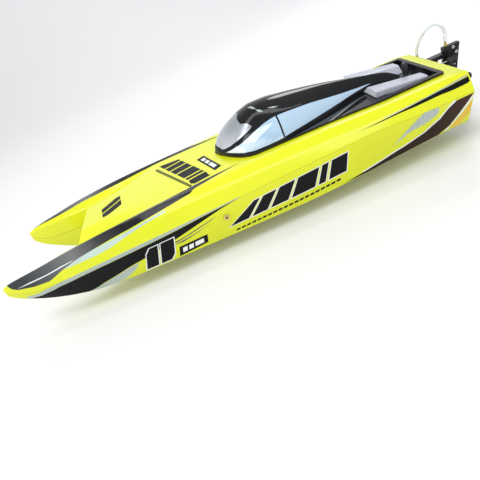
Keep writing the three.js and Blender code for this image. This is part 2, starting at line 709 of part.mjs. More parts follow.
const SERVO_X = [SERVO_AXIS_X - 31, SERVO_AXIS_X + 10];
const SERVO_Y = [RUDDER_AXIS[1] - 10, RUDDER_AXIS[1] + 10];
const SERVO_Z = [33, LINK_HEIGHT - 6];

function steeringServo() {
  const body = box(SERVO_X, SERVO_Y, [SERVO_Z[0], SERVO_Z[1]]);
  const ears = box([SERVO_X[0] - 7, SERVO_X[1] + 7], SERVO_Y, [46, 48.5]);
  const boss = rod('z', SERVO_Z[1] - 1, LINK_HEIGHT - 3.4, [SERVO_AXIS_X, RUDDER_AXIS[1]], 6, 16);
  const spline = rod('z', SERVO_Z[1], LINK_HEIGHT + 1, [SERVO_AXIS_X, RUDDER_AXIS[1]], 2, 12);
  return join(body, ears, boss, spline);
}

// Two posts that carry the servo by its ears, joined by a floor plate beside the servo.
function servoBracket() {
  const front = box([SERVO_X[1] + GAP, SERVO_X[1] + 7], SERVO_Y, [30.6, 45.7]);
  const back = box([SERVO_X[0] - 7, SERVO_X[0] - GAP], SERVO_Y, [30.6, 45.7]);
  const floor = box([SERVO_X[0] - 7, SERVO_X[1] + 7], SERVO_Y, [30.6, 32.6]);
  return join(front, back, floor);
}

function bellows() {
  const rings = [
    [4.6, -GAP], [4.6, -2.2], [3.2, -3.2], [4.2, -4.6], [2.9, -6], [3.8, -7.4], [2.6, -8.8],
    [2.6, -12], [1.5, -12], [1.5, -GAP],
  ];
  const turned = new THREE.LatheGeometry(
    [...rings, rings[0]].reverse().map(([radius, along]) => new THREE.Vector2(radius, along)), 12);
  return turned.rotateZ(-Math.PI / 2).translate(0, pushrodY, ROD_HEIGHT);
}

function rudderScrewSeats() {
  return [[-54.5, 68], [-50, 76.4]];
}

// A pan-head screw along X or Y, head outside.
function screw(axis, seat, centre, length) {
  const head = rod(axis, seat, seat + 1.8, centre, 2.6, 10);
  const shank = rod(axis, seat - length, seat + 0.5, centre, 1.2, 8);
  const slot = axis === 'x'
    ? box([seat + 1.2, seat + 3], [centre[0] - 0.4, centre[0] + 0.4], [centre[1] - 3, centre[1] + 3])
    : box([centre[0] - 0.4, centre[0] + 0.4], [seat + 1.2, seat + 3], [centre[1] - 3, centre[1] + 3]);
  return cut(join(head, shank), slot);
}

// The same screw with its head towards the stern.
function sternScrew(seat, centre, length) {
  return screw('x', 0, [0, 0], length).rotateZ(Math.PI).translate(seat, centre[0], centre[1]);
}

add('rudder_bracket', rudderBracket(), blackAlloy);
add('rudder_head', rudderHead(), blackAlloy);
add('rudder_blade', rudderBlade(), blackAlloy);
add('rudder_pin', rod('z', LUGS[0][0], LUGS[1][1], RUDDER_AXIS, RUDDER_PIN_RADIUS, 12), steel);
add('rudder_nipple', rudderNipple(), brass);
add('tiller_arm', tillerArm(), blackAlloy);
add('tiller_link_pin', linkPin(RUDDER_ARM_X), steel);
add('rudder_clevis', clevis(RUDDER_ARM_X, 1), blackPlastic);
add('servo_clevis', clevis(SERVO_AXIS_X, -1), blackPlastic);
add('pushrod', rod('x', RUDDER_ARM_X + 5, SERVO_AXIS_X - 5, [pushrodY, ROD_HEIGHT], 1, 10), steel);
add('pushrod_bellows', bellows(), rubber);
add('servo_horn', servoHorn(), blackPlastic);
add('horn_link_pin', linkPin(SERVO_AXIS_X), steel);
add('steering_servo', steeringServo(), blackPlastic);
add('servo_bracket', servoBracket(), greyPlastic);
screwSeats().forEach(([y, z], i) => {
  add(`bracket_screw_${i + 1}`, sternScrew(-3.3 - GAP, [y, z], 3), steel);
});
rudderScrewSeats().forEach(([x, z], i) => {
  add(`rudder_screw_${i + 1}`, screw('y', RUDDER_AXIS[1] + HEAD_HALF + GAP, [x, z], 3), steel);
});

// ---------------------------------------------------------------- drive line
const BARREL = [14, 38];
const BARREL_RADIUS = 5.5;
const STRUT_PLATE = { half: 13, z: [31, 60] };

function strut() {
  const base = box([-3.3, -GAP], [-STRUT_PLATE.half, STRUT_PLATE.half], STRUT_PLATE.z);
  const leg = [[-3, 58], [-8, 58], [-22, 6], [2, 10], [2, 26], [-3, 31]];
  const blade = standing(leg, [-2.5, 2.5]);
  const barrel = onDrive(rod('x', BARREL[0], BARREL[1], [0, 0], BARREL_RADIUS, 16));
  const bore = onDrive(rod('x', BARREL[0] - 1, BARREL[1] + 8, [0, 0], STUFFING_RADIUS + GAP, 16));
  const holes = strutScrewSeats().map(([y, z]) => rod('x', -5, 2, [y, z], 1.6, 8));
  return cut(join(base, blade, barrel), bore, ...holes);
}

function strutScrewSeats() {
  return [[-8, 52], [8, 52]];
}

function propeller() {
  const hub = rod('x', -6, 6, [0, 0], 4.6, 16, 4.2);
  const blades = [0, 1].map((i) => {
    const ring = (radius, chord, pitch) => {
      const half = 0.7;
      return [[-0.5, -half], [0, -half * 1.4], [0.5, -half], [0.5, half], [-0.5, half]].map(
        ([along, thick]) => {
          const a = along * chord;
          return [
            a * Math.sin(pitch) + thick * Math.cos(pitch),
            a * Math.cos(pitch) - thick * Math.sin(pitch),
            radius,
          ];
        });
    };
    const blade = loft([
      ring(2.8, 7, 0.75), ring(8, 13, 0.85), ring(13, 15, 0.98), ring(17, 11, 1.08),
      ring(PROPELLER_RADIUS, 4, 1.15),
    ], 2);
    return blade.rotateX(i * Math.PI);
  });
  return cut(join(hub, ...blades), rod('x', -8, 8, [0, 0], SHAFT_RADIUS + GAP, 12));
}

function driveDog() {
  const dog = tube(6.3, 13.2, [0, 0], 4, SHAFT_RADIUS + GAP, 12);
  return cut(dog, box([5, 8], [-5, 5], [2.5, 6]), box([5, 8], [-5, 5], [-6, -2.5]));
}

add('strut', strut(), blackAlloy);
strutScrewSeats().forEach(([y, z], i) => {
  add(`strut_screw_${i + 1}`, sternScrew(-3.3 - GAP, [y, z], 3), steel);
});
add('strut_bushing', tube(BARREL[0] + 0.2, 26, [0, 0], STUFFING_RADIUS, SHAFT_RADIUS + GAP), brass, drive);
add('stuffing_tube', tube(26.4, 262, [0, 0], STUFFING_RADIUS, 2.6), brass, drive);
add('prop_shaft', rod('x', -10, 279, [0, 0], SHAFT_RADIUS, 12), steel, drive);
add('drive_dog', driveDog(), brass, drive);
add('propeller', propeller(), propellerNylon, drive);
add('prop_nut', cut(rod('x', -10.6, -6.3, [0, 0], 4, 6), rod('x', -12, -5, [0, 0], 2.3, 12)), steel, drive);
add('shaft_coupler', tube(266, 292, [0, 0], 6.5, 2.9), blueAlloy, drive);
add('motor_shaft', rod('x', 280, MOTOR_FACE + 16, [0, 0], 2.5, 12), steel, drive);

function motorCan() {
  const can = rod('x', MOTOR_FACE + GAP, MOTOR_FACE + MOTOR_LENGTH, [0, 0], MOTOR_RADIUS, 24);
  const shaftBore = rod('x', MOTOR_FACE - 5, MOTOR_FACE + 18, [0, 0], 2.9, 12);
  return cut(can, shaftBore);
}

function motorMount() {
  const half = 19;
  const plateBody = box([MOTOR_FACE - 3, MOTOR_FACE], [-half, half], [-20, half]);
  const feet = [-1, 1].map((side) =>
    box([MOTOR_FACE - 3, MOTOR_FACE + 14], [side * 24, side * 18.6], [-20, -8]));
  const opening = rod('x', MOTOR_FACE - 5, MOTOR_FACE + 2, [0, 0], 6, 16);
  return cut(join(plateBody, ...feet), opening);
}

add('motor_can', motorCan(), blackPlastic, drive);
add('motor_mount', motorMount(), blueAlloy, drive);
add('water_jacket', tube(MOTOR_FACE + 18, MOTOR_FACE + 50, [0, 0], MOTOR_RADIUS + 2.4,
  MOTOR_RADIUS + GAP, 24), blueAlloy, drive);

// ---------------------------------------------------------------- electrics
const BATTERY = { x: [150, 280], y: [48, 79.5], z: [12.8, 38.5] };
const TRAY_PLATE = [9.5, 12.5];

function batteryTray(side) {
  const { x, y } = BATTERY;
  const bottom = box([x[0] - 5, x[1] + 5], [side * (y[0] - 1.5), side * (y[1] + 1)], TRAY_PLATE);
  const lips = [x[0] - 5, x[1] + 2].map((start) =>
    box([start, start + 3], [side * (y[0] - 1.5), side * (y[1] + 1)], [11, 18]));
  return join(bottom, ...lips);
}

function batteryStrap(side) {
  const { y, z } = BATTERY;
  const around = (grow, low) =>
    box([205, 225], [side * (y[0] - grow), side * (y[1] + grow)], [low, z[1] + grow]);
  const inside = box([195, 235], [side * (y[0] - GAP), side * (y[1] + GAP)], [0, z[1] + GAP]);
  return cut(around(1.3, z[0] + 0.2), inside);
}

function speedController() {
  const body = box([140, 200], [-32, -9], [31, 47]);
  const fins = [0, 1, 2, 3, 4].map((i) => box([150, 194], [-30 + 4.4 * i, -28.5 + 4.4 * i], [46, 53]));
  return join(body, ...fins);
}

add('battery_port', box(BATTERY.x, BATTERY.y, BATTERY.z), batteryWrap);
add('battery_starboard', box(BATTERY.x, BATTERY.y.map((y) => -y), BATTERY.z), batteryWrap);
add('battery_tray_port', batteryTray(1), greyPlastic);
add('battery_tray_starboard', batteryTray(-1), greyPlastic);
add('battery_strap_port', batteryStrap(1), rubber);
add('battery_strap_starboard', batteryStrap(-1), rubber);
add('speed_controller', speedController(), blueAlloy);
add('receiver', box([90, 132], [10, 33], [31, 44]), blackPlastic);
add('foam_block_port', box([440, 565], [56, 78], [28, 54]), foam);
add('foam_block_starboard', box([440, 565], [-56, -78], [28, 54]), foam);

// ---------------------------------------------------------------- cooling hoses
const rudderHose = [
  [-7, -64, 77.3], [-7.3, -63.6, 86], [-12, -59.5, 100], [-19, -54, 111], [-27, -48.5, 117],
  [-35, -45, 116], [-41, -43, 109], [-43.5, -42, 100], [-42.4, -41.2, 92], [-42, -41, 87.3],
];
add('water_hose', hose(rudderHose, HOSE_RADIUS, 24), silicone);
add('cooling_hose_inlet', hose([
  [9.4, -64, 66], [24, -64, 64], [60, -58, 62], [130, -46, 66], [210, -36, 70], [262, -30, 70],
  [292, -26, 67],
], HOSE_RADIUS, 30), silicone);
add('cooling_hose_outlet', hose([
  [318, 27, 62], [330, 36, 56], [348, 52, 46], [362, 66, 38], [369.4, 74, 35.4], [370, 78.9, 35],
], HOSE_RADIUS, 16), silicone);

// ---------------------------------------------------------------- place on its origin
// The origin is under the middle of the whole length, at the lowest point of the rudder.
boat.position.set(-(HULL_LENGTH + RUDDER_TAIL_X) / 2, 0, -RUDDER_BOTTOM);
boat.updateMatrixWorld(true);

export default boat;
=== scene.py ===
import json
import math

import bmesh
import bpy
from mathutils import Matrix, Vector
from mathutils.bvhtree import BVHTree
from mathutils.geometry import delaunay_2d_cdt

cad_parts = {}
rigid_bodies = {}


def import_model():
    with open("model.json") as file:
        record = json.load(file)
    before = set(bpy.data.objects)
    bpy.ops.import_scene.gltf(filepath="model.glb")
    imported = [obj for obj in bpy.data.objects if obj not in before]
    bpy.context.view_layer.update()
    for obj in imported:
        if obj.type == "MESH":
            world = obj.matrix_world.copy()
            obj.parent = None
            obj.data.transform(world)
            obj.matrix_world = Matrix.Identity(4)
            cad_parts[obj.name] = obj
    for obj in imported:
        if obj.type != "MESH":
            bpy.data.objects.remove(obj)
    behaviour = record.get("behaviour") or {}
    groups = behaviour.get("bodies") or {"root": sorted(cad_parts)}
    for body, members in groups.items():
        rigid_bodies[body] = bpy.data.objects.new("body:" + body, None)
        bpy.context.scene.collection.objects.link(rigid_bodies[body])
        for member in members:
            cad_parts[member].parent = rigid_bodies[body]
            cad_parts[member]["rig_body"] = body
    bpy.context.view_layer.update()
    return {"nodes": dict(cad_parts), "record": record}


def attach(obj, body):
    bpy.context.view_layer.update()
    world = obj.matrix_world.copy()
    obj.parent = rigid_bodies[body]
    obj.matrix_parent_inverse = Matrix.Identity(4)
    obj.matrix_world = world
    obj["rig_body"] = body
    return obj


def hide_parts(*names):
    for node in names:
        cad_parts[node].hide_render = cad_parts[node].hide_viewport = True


# Look of a 70 cm radio-controlled racing catamaran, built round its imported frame. Shapes are drawn
# in hull millimetres (x from the transom, y from the centreline, z from the keel pads), and at()
# places them in the frame, in metres.
FRAME_ORIGIN_X = 319  # the frame's origin, in hull millimetres
FRAME_ORIGIN_Z = -22
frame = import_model()
nodes = frame["nodes"]
scene = bpy.context.scene


def at(x, y, z):
    return Vector(((x - FRAME_ORIGIN_X) / 1000, y / 1000, (z - FRAME_ORIGIN_Z) / 1000))


# ---------------------------------------------------------------- camera
# From the port side, abeam of midships, looking down at the boat and rolled; angles in degrees.
CAMERA_PLACE = (337.146, 614.71, 322.205)
CAMERA_HEADING, CAMERA_DOWN, CAMERA_ROLL = 183.272, 32.338, -25.454
camera = bpy.data.objects.new("camera", bpy.data.cameras.new("camera"))
scene.collection.objects.link(camera)
scene.camera = camera
camera.data.lens = 32.22
camera.data.sensor_width = 36
camera.data.clip_start = 0.01
camera.matrix_world = (
    Matrix.Translation(at(*CAMERA_PLACE))
    @ Matrix.Rotation(math.radians(CAMERA_HEADING), 4, "Z")
    @ Matrix.Rotation(math.radians(90 - CAMERA_DOWN), 4, "X")
    @ Matrix.Rotation(math.radians(CAMERA_ROLL), 4, "Z")
)


# ---------------------------------------------------------------- materials
class Paint:
    """A node material: one Principled shader with object-space patterns feeding it."""

    def __init__(self, name, **sockets):
        self.material = bpy.data.materials.new(name)
        self.material.use_nodes = True
        self.tree = self.material.node_tree
        self.shader = self.tree.nodes["Principled BSDF"]
        self.place = self.tree.nodes.new("ShaderNodeTexCoord").outputs["Object"]
        for key, value in sockets.items():
            self.shader.inputs[key.replace("_", " ")].default_value = value

    def node(self, kind, inputs=None, **settings):
        made = self.tree.nodes.new(kind)
        for key, value in settings.items():
            setattr(made, key, value)
        for key, value in (inputs or {}).items():
            if isinstance(value, bpy.types.NodeSocket):
                self.tree.links.new(value, made.inputs[key])
            else:
                made.inputs[key].default_value = value
        return made

    def noise(self, scale, detail=3.0, stretch=(1, 1, 1), rough=0.5):
        moved = self.node("ShaderNodeMapping", {"Vector": self.place, "Scale": stretch})
        made = self.node("ShaderNodeTexNoise", {
            "Vector": moved.outputs[0], "Scale": scale, "Detail": detail, "Roughness": rough,
        })
        return made.outputs["Fac"]

    def ramp(self, value, stops):
        made = self.node("ShaderNodeValToRGB", {"Fac": value})
        band = made.color_ramp
        while len(band.elements) < len(stops):
            band.elements.new(0.5)
        for element, (place, colour) in zip(band.elements, stops):
            element.position = place
            element.color = (*colour, 1)
        return made.outputs["Color"]

    def span(self, value, low, high, start=0.0, end=1.0):
        made = self.node("ShaderNodeMapRange", {
            "Value": value, "From Min": low, "From Max": high, "To Min": start, "To Max": end,
        })
        return made.outputs["Result"]

    def mix(self, share, first, second, blend="MIX"):
        made = self.node("ShaderNodeMix", data_type="RGBA", blend_type=blend)
        for key, value in ((0, share), (6, first), (7, second)):
            if isinstance(value, bpy.types.NodeSocket):
                self.tree.links.new(value, made.inputs[key])
            else:
                made.inputs[key].default_value = value if key == 0 else (*value, 1)
        return made.outputs[2]

    def maths(self, operation, first, second):
        return self.node("ShaderNodeMath", {0: first, 1: second}, operation=operation).outputs[0]

    def axis(self, letter):
        split = self.node("ShaderNodeSeparateXYZ", {"Vector": self.place})
        return split.outputs[letter]

    def feed(self, socket, value):
        self.tree.links.new(value, self.shader.inputs[socket])

    def bump(self, *layers):
        """Layers of (height socket, distance in metres, strength)."""
        normal = None
        for height, distance, strength in layers:
            inputs = {"Height": height, "Distance": distance, "Strength": strength}
            if normal is not None:
                inputs["Normal"] = normal
            normal = self.node("ShaderNodeBump", inputs).outputs["Normal"]
        self.feed("Normal", normal)


def lacquer(name, stops, rough=(0.1, 0.2), coat=0.3, metal=0.0, peel=0.00004, ior=1.4):
    """Sprayed or printed gloss: cloudy tone, uneven polish and a faint orange peel."""
    paint = Paint(name, Metallic=metal, Coat_Weight=coat, Coat_Roughness=0.05, IOR=ior)
    paint.feed("Base Color", paint.ramp(paint.noise(9, 4), stops))
    paint.feed("Roughness", paint.span(paint.noise(60, 5, rough=0.7), 0.35, 0.7, *rough))
    paint.bump((paint.noise(420, 2), peel, 0.5), (paint.noise(1500, 2), peel / 4, 0.4))
    return paint.material


def moulded(name, dark, light, rough=(0.42, 0.62), metal=0.0, grain=900, depth=0.00006):
    """Moulded plastic, cast rubber or anodised metal: fine grain, with rubbed and dusty areas."""
    paint = Paint(name, Metallic=metal)
    rubbed = paint.noise(45, 6, rough=0.65)
    paint.feed("Base Color", paint.mix(paint.span(rubbed, 0.4, 0.72), dark, light))
    paint.feed("Roughness", paint.span(rubbed, 0.35, 0.7, rough[1], rough[0]))
    paint.bump((paint.noise(grain, 3), depth, 0.6), (paint.noise(150, 3), depth, 0.25))
    return paint.material


def turned(name, dark, light, rough=(0.16, 0.34)):
    """Drawn or turned metal: fine lines one way, with handling marks."""
    paint = Paint(name, Metallic=1.0)
    lines = paint.noise(320, 3, stretch=(1, 14, 14))
    marks = paint.noise(38, 5, rough=0.7)
    paint.feed("Base Color", paint.mix(paint.span(marks, 0.35, 0.7), dark, light))
    paint.feed("Roughness", paint.span(lines, 0.3, 0.7, *rough))
    paint.bump((lines, 0.00003, 0.5))
    return paint.material


def hull_lacquer():
    """Fluorescent yellow, with painted shade darkening it towards the keel."""
    paint = Paint("hull_lacquer", Coat_Weight=0.35, Coat_Roughness=0.05, IOR=1.4)
    tone = paint.ramp(paint.noise(6, 4), [(0.3, (0.70, 0.745, 0.006)), (0.7, (0.80, 0.83, 0.018))])
    # Painted shade: the colour is multiplied darker towards the keel, where the lower hull falls out
    # of the light.
    height = paint.span(paint.axis("Z"), at(0, 0, 8).z, at(0, 0, 88).z)
    painted_keel_shade = paint.mix(height, (0.66, 0.69, 0.004), (1.0, 1.0, 1.0))
    paint.feed("Base Color", paint.mix(0.55, tone, painted_keel_shade, "MULTIPLY"))
    paint.feed("Roughness", paint.span(paint.noise(70, 5, rough=0.7), 0.35, 0.7, 0.16, 0.27))
    paint.bump((paint.noise(380, 2), 0.00005, 0.5), (paint.noise(30, 2), 0.0002, 0.12))
    return paint.material


def laminate():
    """The unpainted inside: glass cloth under resin."""
    paint = Paint("laminate", Coat_Weight=0.3, Coat_Roughness=0.2)
    weave = [
        paint.node("ShaderNodeTexWave", {
            "Vector": paint.place, "Scale": 160, "Distortion": 0.6, "Detail": 1.0,
        }, bands_direction=way).outputs["Fac"]
        for way in ("X", "Y")
    ]
    crossed = paint.maths("MULTIPLY", *weave)
    cloth = paint.mix(crossed, (0.42, 0.43, 0.20), (0.62, 0.62, 0.40))
    stain = paint.span(paint.noise(20, 4), 0.4, 0.7, 0, 0.4)
    paint.feed("Base Color", paint.mix(stain, cloth, (0.5, 0.47, 0.3)))
    paint.feed("Roughness", paint.span(paint.noise(50, 4), 0.3, 0.7, 0.35, 0.6))
    paint.bump((crossed, 0.0002, 0.6))
    return paint.material


def graded_tone(name, letter, ends, cloud, spread, stops, rough, peel, **sockets):
    """A tone along one axis, unevenly: print, with painted highlight and painted reflection in some
    uses.
    """
    paint = Paint(name, **sockets)
    place = paint.span(paint.axis(letter), *ends)
    uneven_place = paint.maths("ADD", place, paint.span(paint.noise(*cloud), *spread))
    paint.feed("Base Color", paint.ramp(uneven_place, stops))
    paint.feed("Roughness", paint.span(paint.noise(60, rough[0]), 0.35, 0.7, *rough[1:]))
    paint.bump((paint.noise(peel[0], 2), peel[1], 0.4))
    return paint.material


def swoosh_print():
    """Stern sweep: brown-black print, redder towards the transom."""
    paint = Paint("swoosh_print", Coat_Weight=0.05, Coat_Roughness=0.1, IOR=1.2)
    place = paint.span(paint.axis("X"), at(0, 0, 0).x, at(170, 0, 0).x)
    tone = paint.ramp(place, [(0.0, (0.05, 0.012, 0.004)), (0.35, (0.028, 0.010, 0.005)),
                              (1.0, (0.02, 0.012, 0.008))])
    smoke = paint.span(paint.noise(18, 4), 0.4, 0.7, 0, 0.5)
    paint.feed("Base Color", paint.mix(smoke, tone, (0.012, 0.009, 0.008)))
    paint.feed("Roughness", paint.span(paint.noise(60, 5), 0.35, 0.7, 0.12, 0.24))
    paint.bump((paint.noise(420, 2), 0.00004, 0.4))
    return paint.material


def silicone():
    paint = Paint("silicone", Transmission_Weight=0.15, IOR=1.41, Subsurface_Weight=0.25,
                  Subsurface_Scale=0.004)
    haze = paint.noise(90, 4)
    milk = paint.span(haze, 0.35, 0.7)
    paint.feed("Base Color", paint.mix(milk, (0.84, 0.88, 0.90), (0.93, 0.95, 0.96)))
    paint.feed("Roughness", paint.span(haze, 0.3, 0.7, 0.22, 0.38))
    paint.bump((paint.noise(700, 2), 0.00003, 0.4))
    return paint.material


def foam():
    paint = Paint("foam", Sheen_Weight=0.2)
    cells = paint.node("ShaderNodeTexVoronoi", {"Vector": paint.place, "Scale": 420})
    depth = cells.outputs["Distance"]
    # Painted shade: the cells' pits are darker than their rims, following the bump's pattern.
    paint.feed("Base Color", paint.mix(depth, (0.62, 0.60, 0.53), (0.86, 0.84, 0.77)))
    paint.feed("Roughness", paint.span(paint.noise(80, 3), 0.3, 0.7, 0.85, 0.97))
    paint.bump((depth, 0.0004, 0.7))
    return paint.material


black_gloss = lacquer("canopy_gloss", [(0.3, (0.004, 0.004, 0.005)), (0.7, (0.011, 0.011, 0.013))],
                      rough=(0.05, 0.11), coat=0.4, peel=0.000005, ior=1.2)
print_black = lacquer("print_black", [(0.3, (0.003, 0.003, 0.004)), (0.7, (0.007, 0.007, 0.008))],
                      rough=(0.3, 0.42), coat=0.04, ior=1.2)
print_white = lacquer("print_white", [(0.3, (0.72, 0.74, 0.74)), (0.7, (0.84, 0.85, 0.84))])
print_grey = lacquer("print_grey", [(0.3, (0.05, 0.052, 0.055)), (0.7, (0.09, 0.092, 0.095))])
print_silver = lacquer("print_silver", [(0.3, (0.36, 0.42, 0.38)), (0.7, (0.44, 0.50, 0.45))],
                       rough=(0.24, 0.34), metal=0.15, peel=0.00001)
print_mint = lacquer("print_mint", [(0.3, (0.46, 0.60, 0.53)), (0.7, (0.60, 0.72, 0.65))],
                     rough=(0.24, 0.34), metal=0.15, peel=0.00001)
print_orange = lacquer("print_orange", [(0.3, (0.72, 0.40, 0.012)), (0.7, (0.78, 0.50, 0.015))])
scoop_silver = lacquer("scoop_silver", [(0.3, (0.47, 0.49, 0.57)), (0.7, (0.54, 0.56, 0.65))],
                       rough=(0.22, 0.3), metal=0.2, peel=0.000005)
# Painted highlight: near white for the silver scoops' front faces.
scoop_face_highlight = lacquer("scoop_face_highlight", [(0.3, (0.84, 0.88, 0.90)), (0.7, (0.92, 0.95, 0.96))])
hull_yellow = hull_lacquer()
inner_glass = laminate()
# Bow stripe: slate at the tip, a mid grey painted reflection behind it, black print from there aft.
stripe_and_reflection = graded_tone(
    "stripe_and_reflection", "X", (at(700, 0, 0).x, at(500, 0, 0).x), (14, 4), (0, 1, -0.08, 0.08), [
        (0.0, (0.02, 0.025, 0.028)), (0.18, (0.024, 0.029, 0.032)), (0.38, (0.09, 0.095, 0.10)),
        (0.58, (0.17, 0.175, 0.18)), (0.78, (0.03, 0.031, 0.033)), (0.95, (0.006, 0.006, 0.007)),
    ], (5, 0.1, 0.22), (420, 0.00004), Coat_Weight=0.25, Coat_Roughness=0.08, IOR=1.35)
# Side windows: white where the light strikes them, running to sky blue, with soft streaks.
window_blue = graded_tone(
    "window_tint", "X", (at(338, 0, 0).x, at(240, 0, 0).x), (16, 3, (1, 1, 3.2)),
    (0.25, 0.75, -0.22, 0.22), [
        (0.05, (0.84, 0.88, 0.91)), (0.3, (0.58, 0.70, 0.82)), (0.62, (0.34, 0.49, 0.65)),
        (0.9, (0.42, 0.57, 0.72)),
    ], (4, 0.06, 0.15), (300, 0.00002), Coat_Weight=1.0, Coat_Roughness=0.02)
# Windscreen: pale grey at its foot, darker towards the roof.
windscreen = graded_tone(
    "windscreen_tint", "Z", (at(0, 0, 98).z, at(0, 0, 132).z), (20, 3), (0.25, 0.75, -0.2, 0.2), [
        (0.1, (0.62, 0.65, 0.68)), (0.5, (0.42, 0.45, 0.49)), (0.9, (0.24, 0.26, 0.29)),
    ], (4, 0.08, 0.2), (300, 0.00002), Metallic=0.3, Coat_Weight=1.0, Coat_Roughness=0.03)
stern_print = swoosh_print()
MATERIALS = {
    "black_alloy": moulded("black_alloy", (0.012, 0.012, 0.014), (0.035, 0.036, 0.04), (0.25, 0.42),
                           metal=0.7, grain=1600, depth=0.00003),
    "black_plastic": moulded("black_plastic", (0.012, 0.012, 0.013), (0.03, 0.03, 0.032)),
    "grey_plastic": moulded("grey_plastic", (0.08, 0.085, 0.095), (0.14, 0.145, 0.155)),
    "steel": turned("steel", (0.36, 0.36, 0.38), (0.54, 0.54, 0.56)),
    "brass": turned("brass", (0.60, 0.45, 0.15), (0.78, 0.61, 0.26)),
    "silicone": silicone(),
    "rubber": moulded("rubber", (0.012, 0.012, 0.012), (0.04, 0.04, 0.04), (0.7, 0.9), grain=500),
    "blue_alloy": turned("blue_alloy", (0.012, 0.05, 0.30), (0.03, 0.10, 0.46), (0.24, 0.4)),
    "battery_wrap": moulded("battery_wrap", (0.012, 0.06, 0.26), (0.03, 0.10, 0.36), (0.3, 0.45),
                            grain=260, depth=0.0002),
    "foam": foam(),
    "hull_yellow": hull_yellow,
    "canopy_black": black_gloss,
    "silver_trim": scoop_silver,
}
slot_of = {part["node"]: part["material_slot"] for part in frame["record"]["subparts"]}
for name, node in nodes.items():
    node.data.materials.clear()
    node.data.materials.append(MATERIALS[slot_of[name]])


# ---------------------------------------------------------------- the water hose
# A limp silicone hose from the transom nipple, over in one arch and down onto the rudder.
HOSE_DIAMETER = 0.005
HOSE_ROUTE = [
    (-7, -64, 77.3), (-7.3, -63.6, 86), (-12, -59.5, 100), (-19, -54, 111), (-27, -48.5, 117),
    (-35, -45, 116), (-41, -43, 109), (-43.5, -42, 100), (-42.4, -41.2, 92), (-42, -41, 87.3),
]


def smooth_route(points, steps):
    """Points of a smooth curve through the given ones."""
    points = [at(*p) for p in points]
    ends = [points[0] * 2 - points[1], *points, points[-1] * 2 - points[-2]]
    route = []
    for a, b, c, d in zip(ends, ends[1:], ends[2:], ends[3:]):
        for i in range(steps):
            t = i / steps
            route.append(0.5 * (2 * b + (c - a) * t + (2 * a - 5 * b + 4 * c - d) * t**2
                                + (3 * b - a - 3 * c + d) * t**3))
    return [*route, points[-1]]


def round_curve(name, route, radius, material):
    curve = bpy.data.curves.new(name, "CURVE")
    curve.dimensions = "3D"
    curve.bevel_depth = radius
    curve.bevel_resolution = 6
    curve.use_fill_caps = True
    spline = curve.splines.new("POLY")
    spline.points.add(len(route) - 1)
    for point, place in zip(spline.points, route):
        point.co = (*place, 1)
    spline.use_smooth = True
    piece = bpy.data.objects.new(name, curve)
    scene.collection.objects.link(piece)
    curve.materials.append(material)
    return piece


hose_line = smooth_route(HOSE_ROUTE, 3)
hose = round_curve("rudder_hose", hose_line, HOSE_DIAMETER / 2, MATERIALS["silicone"])
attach(hose, "hull")
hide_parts("water_hose")


# ---------------------------------------------------------------- mesh helpers
CYLINDER_SIDES = 24


def place_mesh(name, points, faces, materials, mm=True):
    mesh = bpy.data.meshes.new(name)
    mesh.from_pydata([at(*p) if mm else p for p in points], [], faces)
    for material in materials:
        mesh.materials.append(material)
    piece = bpy.data.objects.new(name, mesh)
    scene.collection.objects.link(piece)
    return piece


def facing_out(piece):
    work = bmesh.new()
    work.from_mesh(piece.data)
    bmesh.ops.recalc_face_normals(work, faces=work.faces)
    work.to_mesh(piece.data)
    work.free()
    return piece


def loft(name, rings, materials=()):
    """A closed skin over rings that all have the same number of points."""
    count = len(rings[0])
    points = [p for ring in rings for p in ring]
    faces = [tuple(range(count)), tuple(range(len(points) - 1, len(points) - 1 - count, -1))]
    for i in range(len(rings) - 1):
        for j in range(count):
            k = (j + 1) % count
            a, b = i * count + j, i * count + k
            faces.append((a, a + count, b + count, b))
    return facing_out(place_mesh(name, points, faces, materials))


def mirrored(x, half):
    """A closed ring at x from its port half, top centre to bottom centre."""
    return [(x, y, z) for y, z in half] + [(x, -y, z) for y, z in half[-2:0:-1]]


def prism(name, outline, low, high):
    count = len(outline)
    points = [(x, y, z) for z in (low, high) for x, y in outline]
    faces = [tuple(range(count)), tuple(range(2 * count - 1, count - 1, -1))]
    faces += [(j, (j + 1) % count, count + (j + 1) % count, count + j) for j in range(count)]
    return facing_out(place_mesh(name, points, faces, ()))


def cylinder(name, start, end, radius):
    start, end = Vector(start), Vector(end)
    turn = (end - start).to_track_quat("Z", "Y")
    angles = [2 * math.pi * i / CYLINDER_SIDES for i in range(CYLINDER_SIDES)]
    return loft(name, [
        [centre + turn @ Vector((radius * math.cos(a), radius * math.sin(a), 0)) for a in angles]
        for centre in (start, end)
    ])


def settle(piece):
    """Applies the piece's modifiers to its mesh."""
    shown = bpy.context.evaluated_depsgraph_get()
    shown.update()
    mesh = bpy.data.meshes.new_from_object(piece.evaluated_get(shown))
    piece.modifiers.clear()
    piece.data = mesh
    return piece


def boolean(piece, tool, operation):
    """Joins, cuts or intersects with a tool, which is used up."""
    change = piece.modifiers.new("change", "BOOLEAN")
    change.object = tool
    change.operation = operation
    change.solver = "MANIFOLD"
    settle(piece)
    bpy.data.objects.remove(tool)
    return piece


def copy_of(piece, name):
    twin = bpy.data.objects.new(name, piece.data.copy())
    scene.collection.objects.link(twin)
    return twin


def polish(piece, degrees=32):
    """Smooth shading with crisp folds."""
    piece.data.polygons.foreach_set("use_smooth", [True] * len(piece.data.polygons))
    piece.data.set_sharp_from_angle(angle=math.radians(degrees))
    weighted = piece.modifiers.new("weighted", "WEIGHTED_NORMAL")
    weighted.keep_sharp = True
    return settle(piece)


def stands_for(piece, body, material_slot, *names):
    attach(piece, body)
    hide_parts(*names)
    return piece


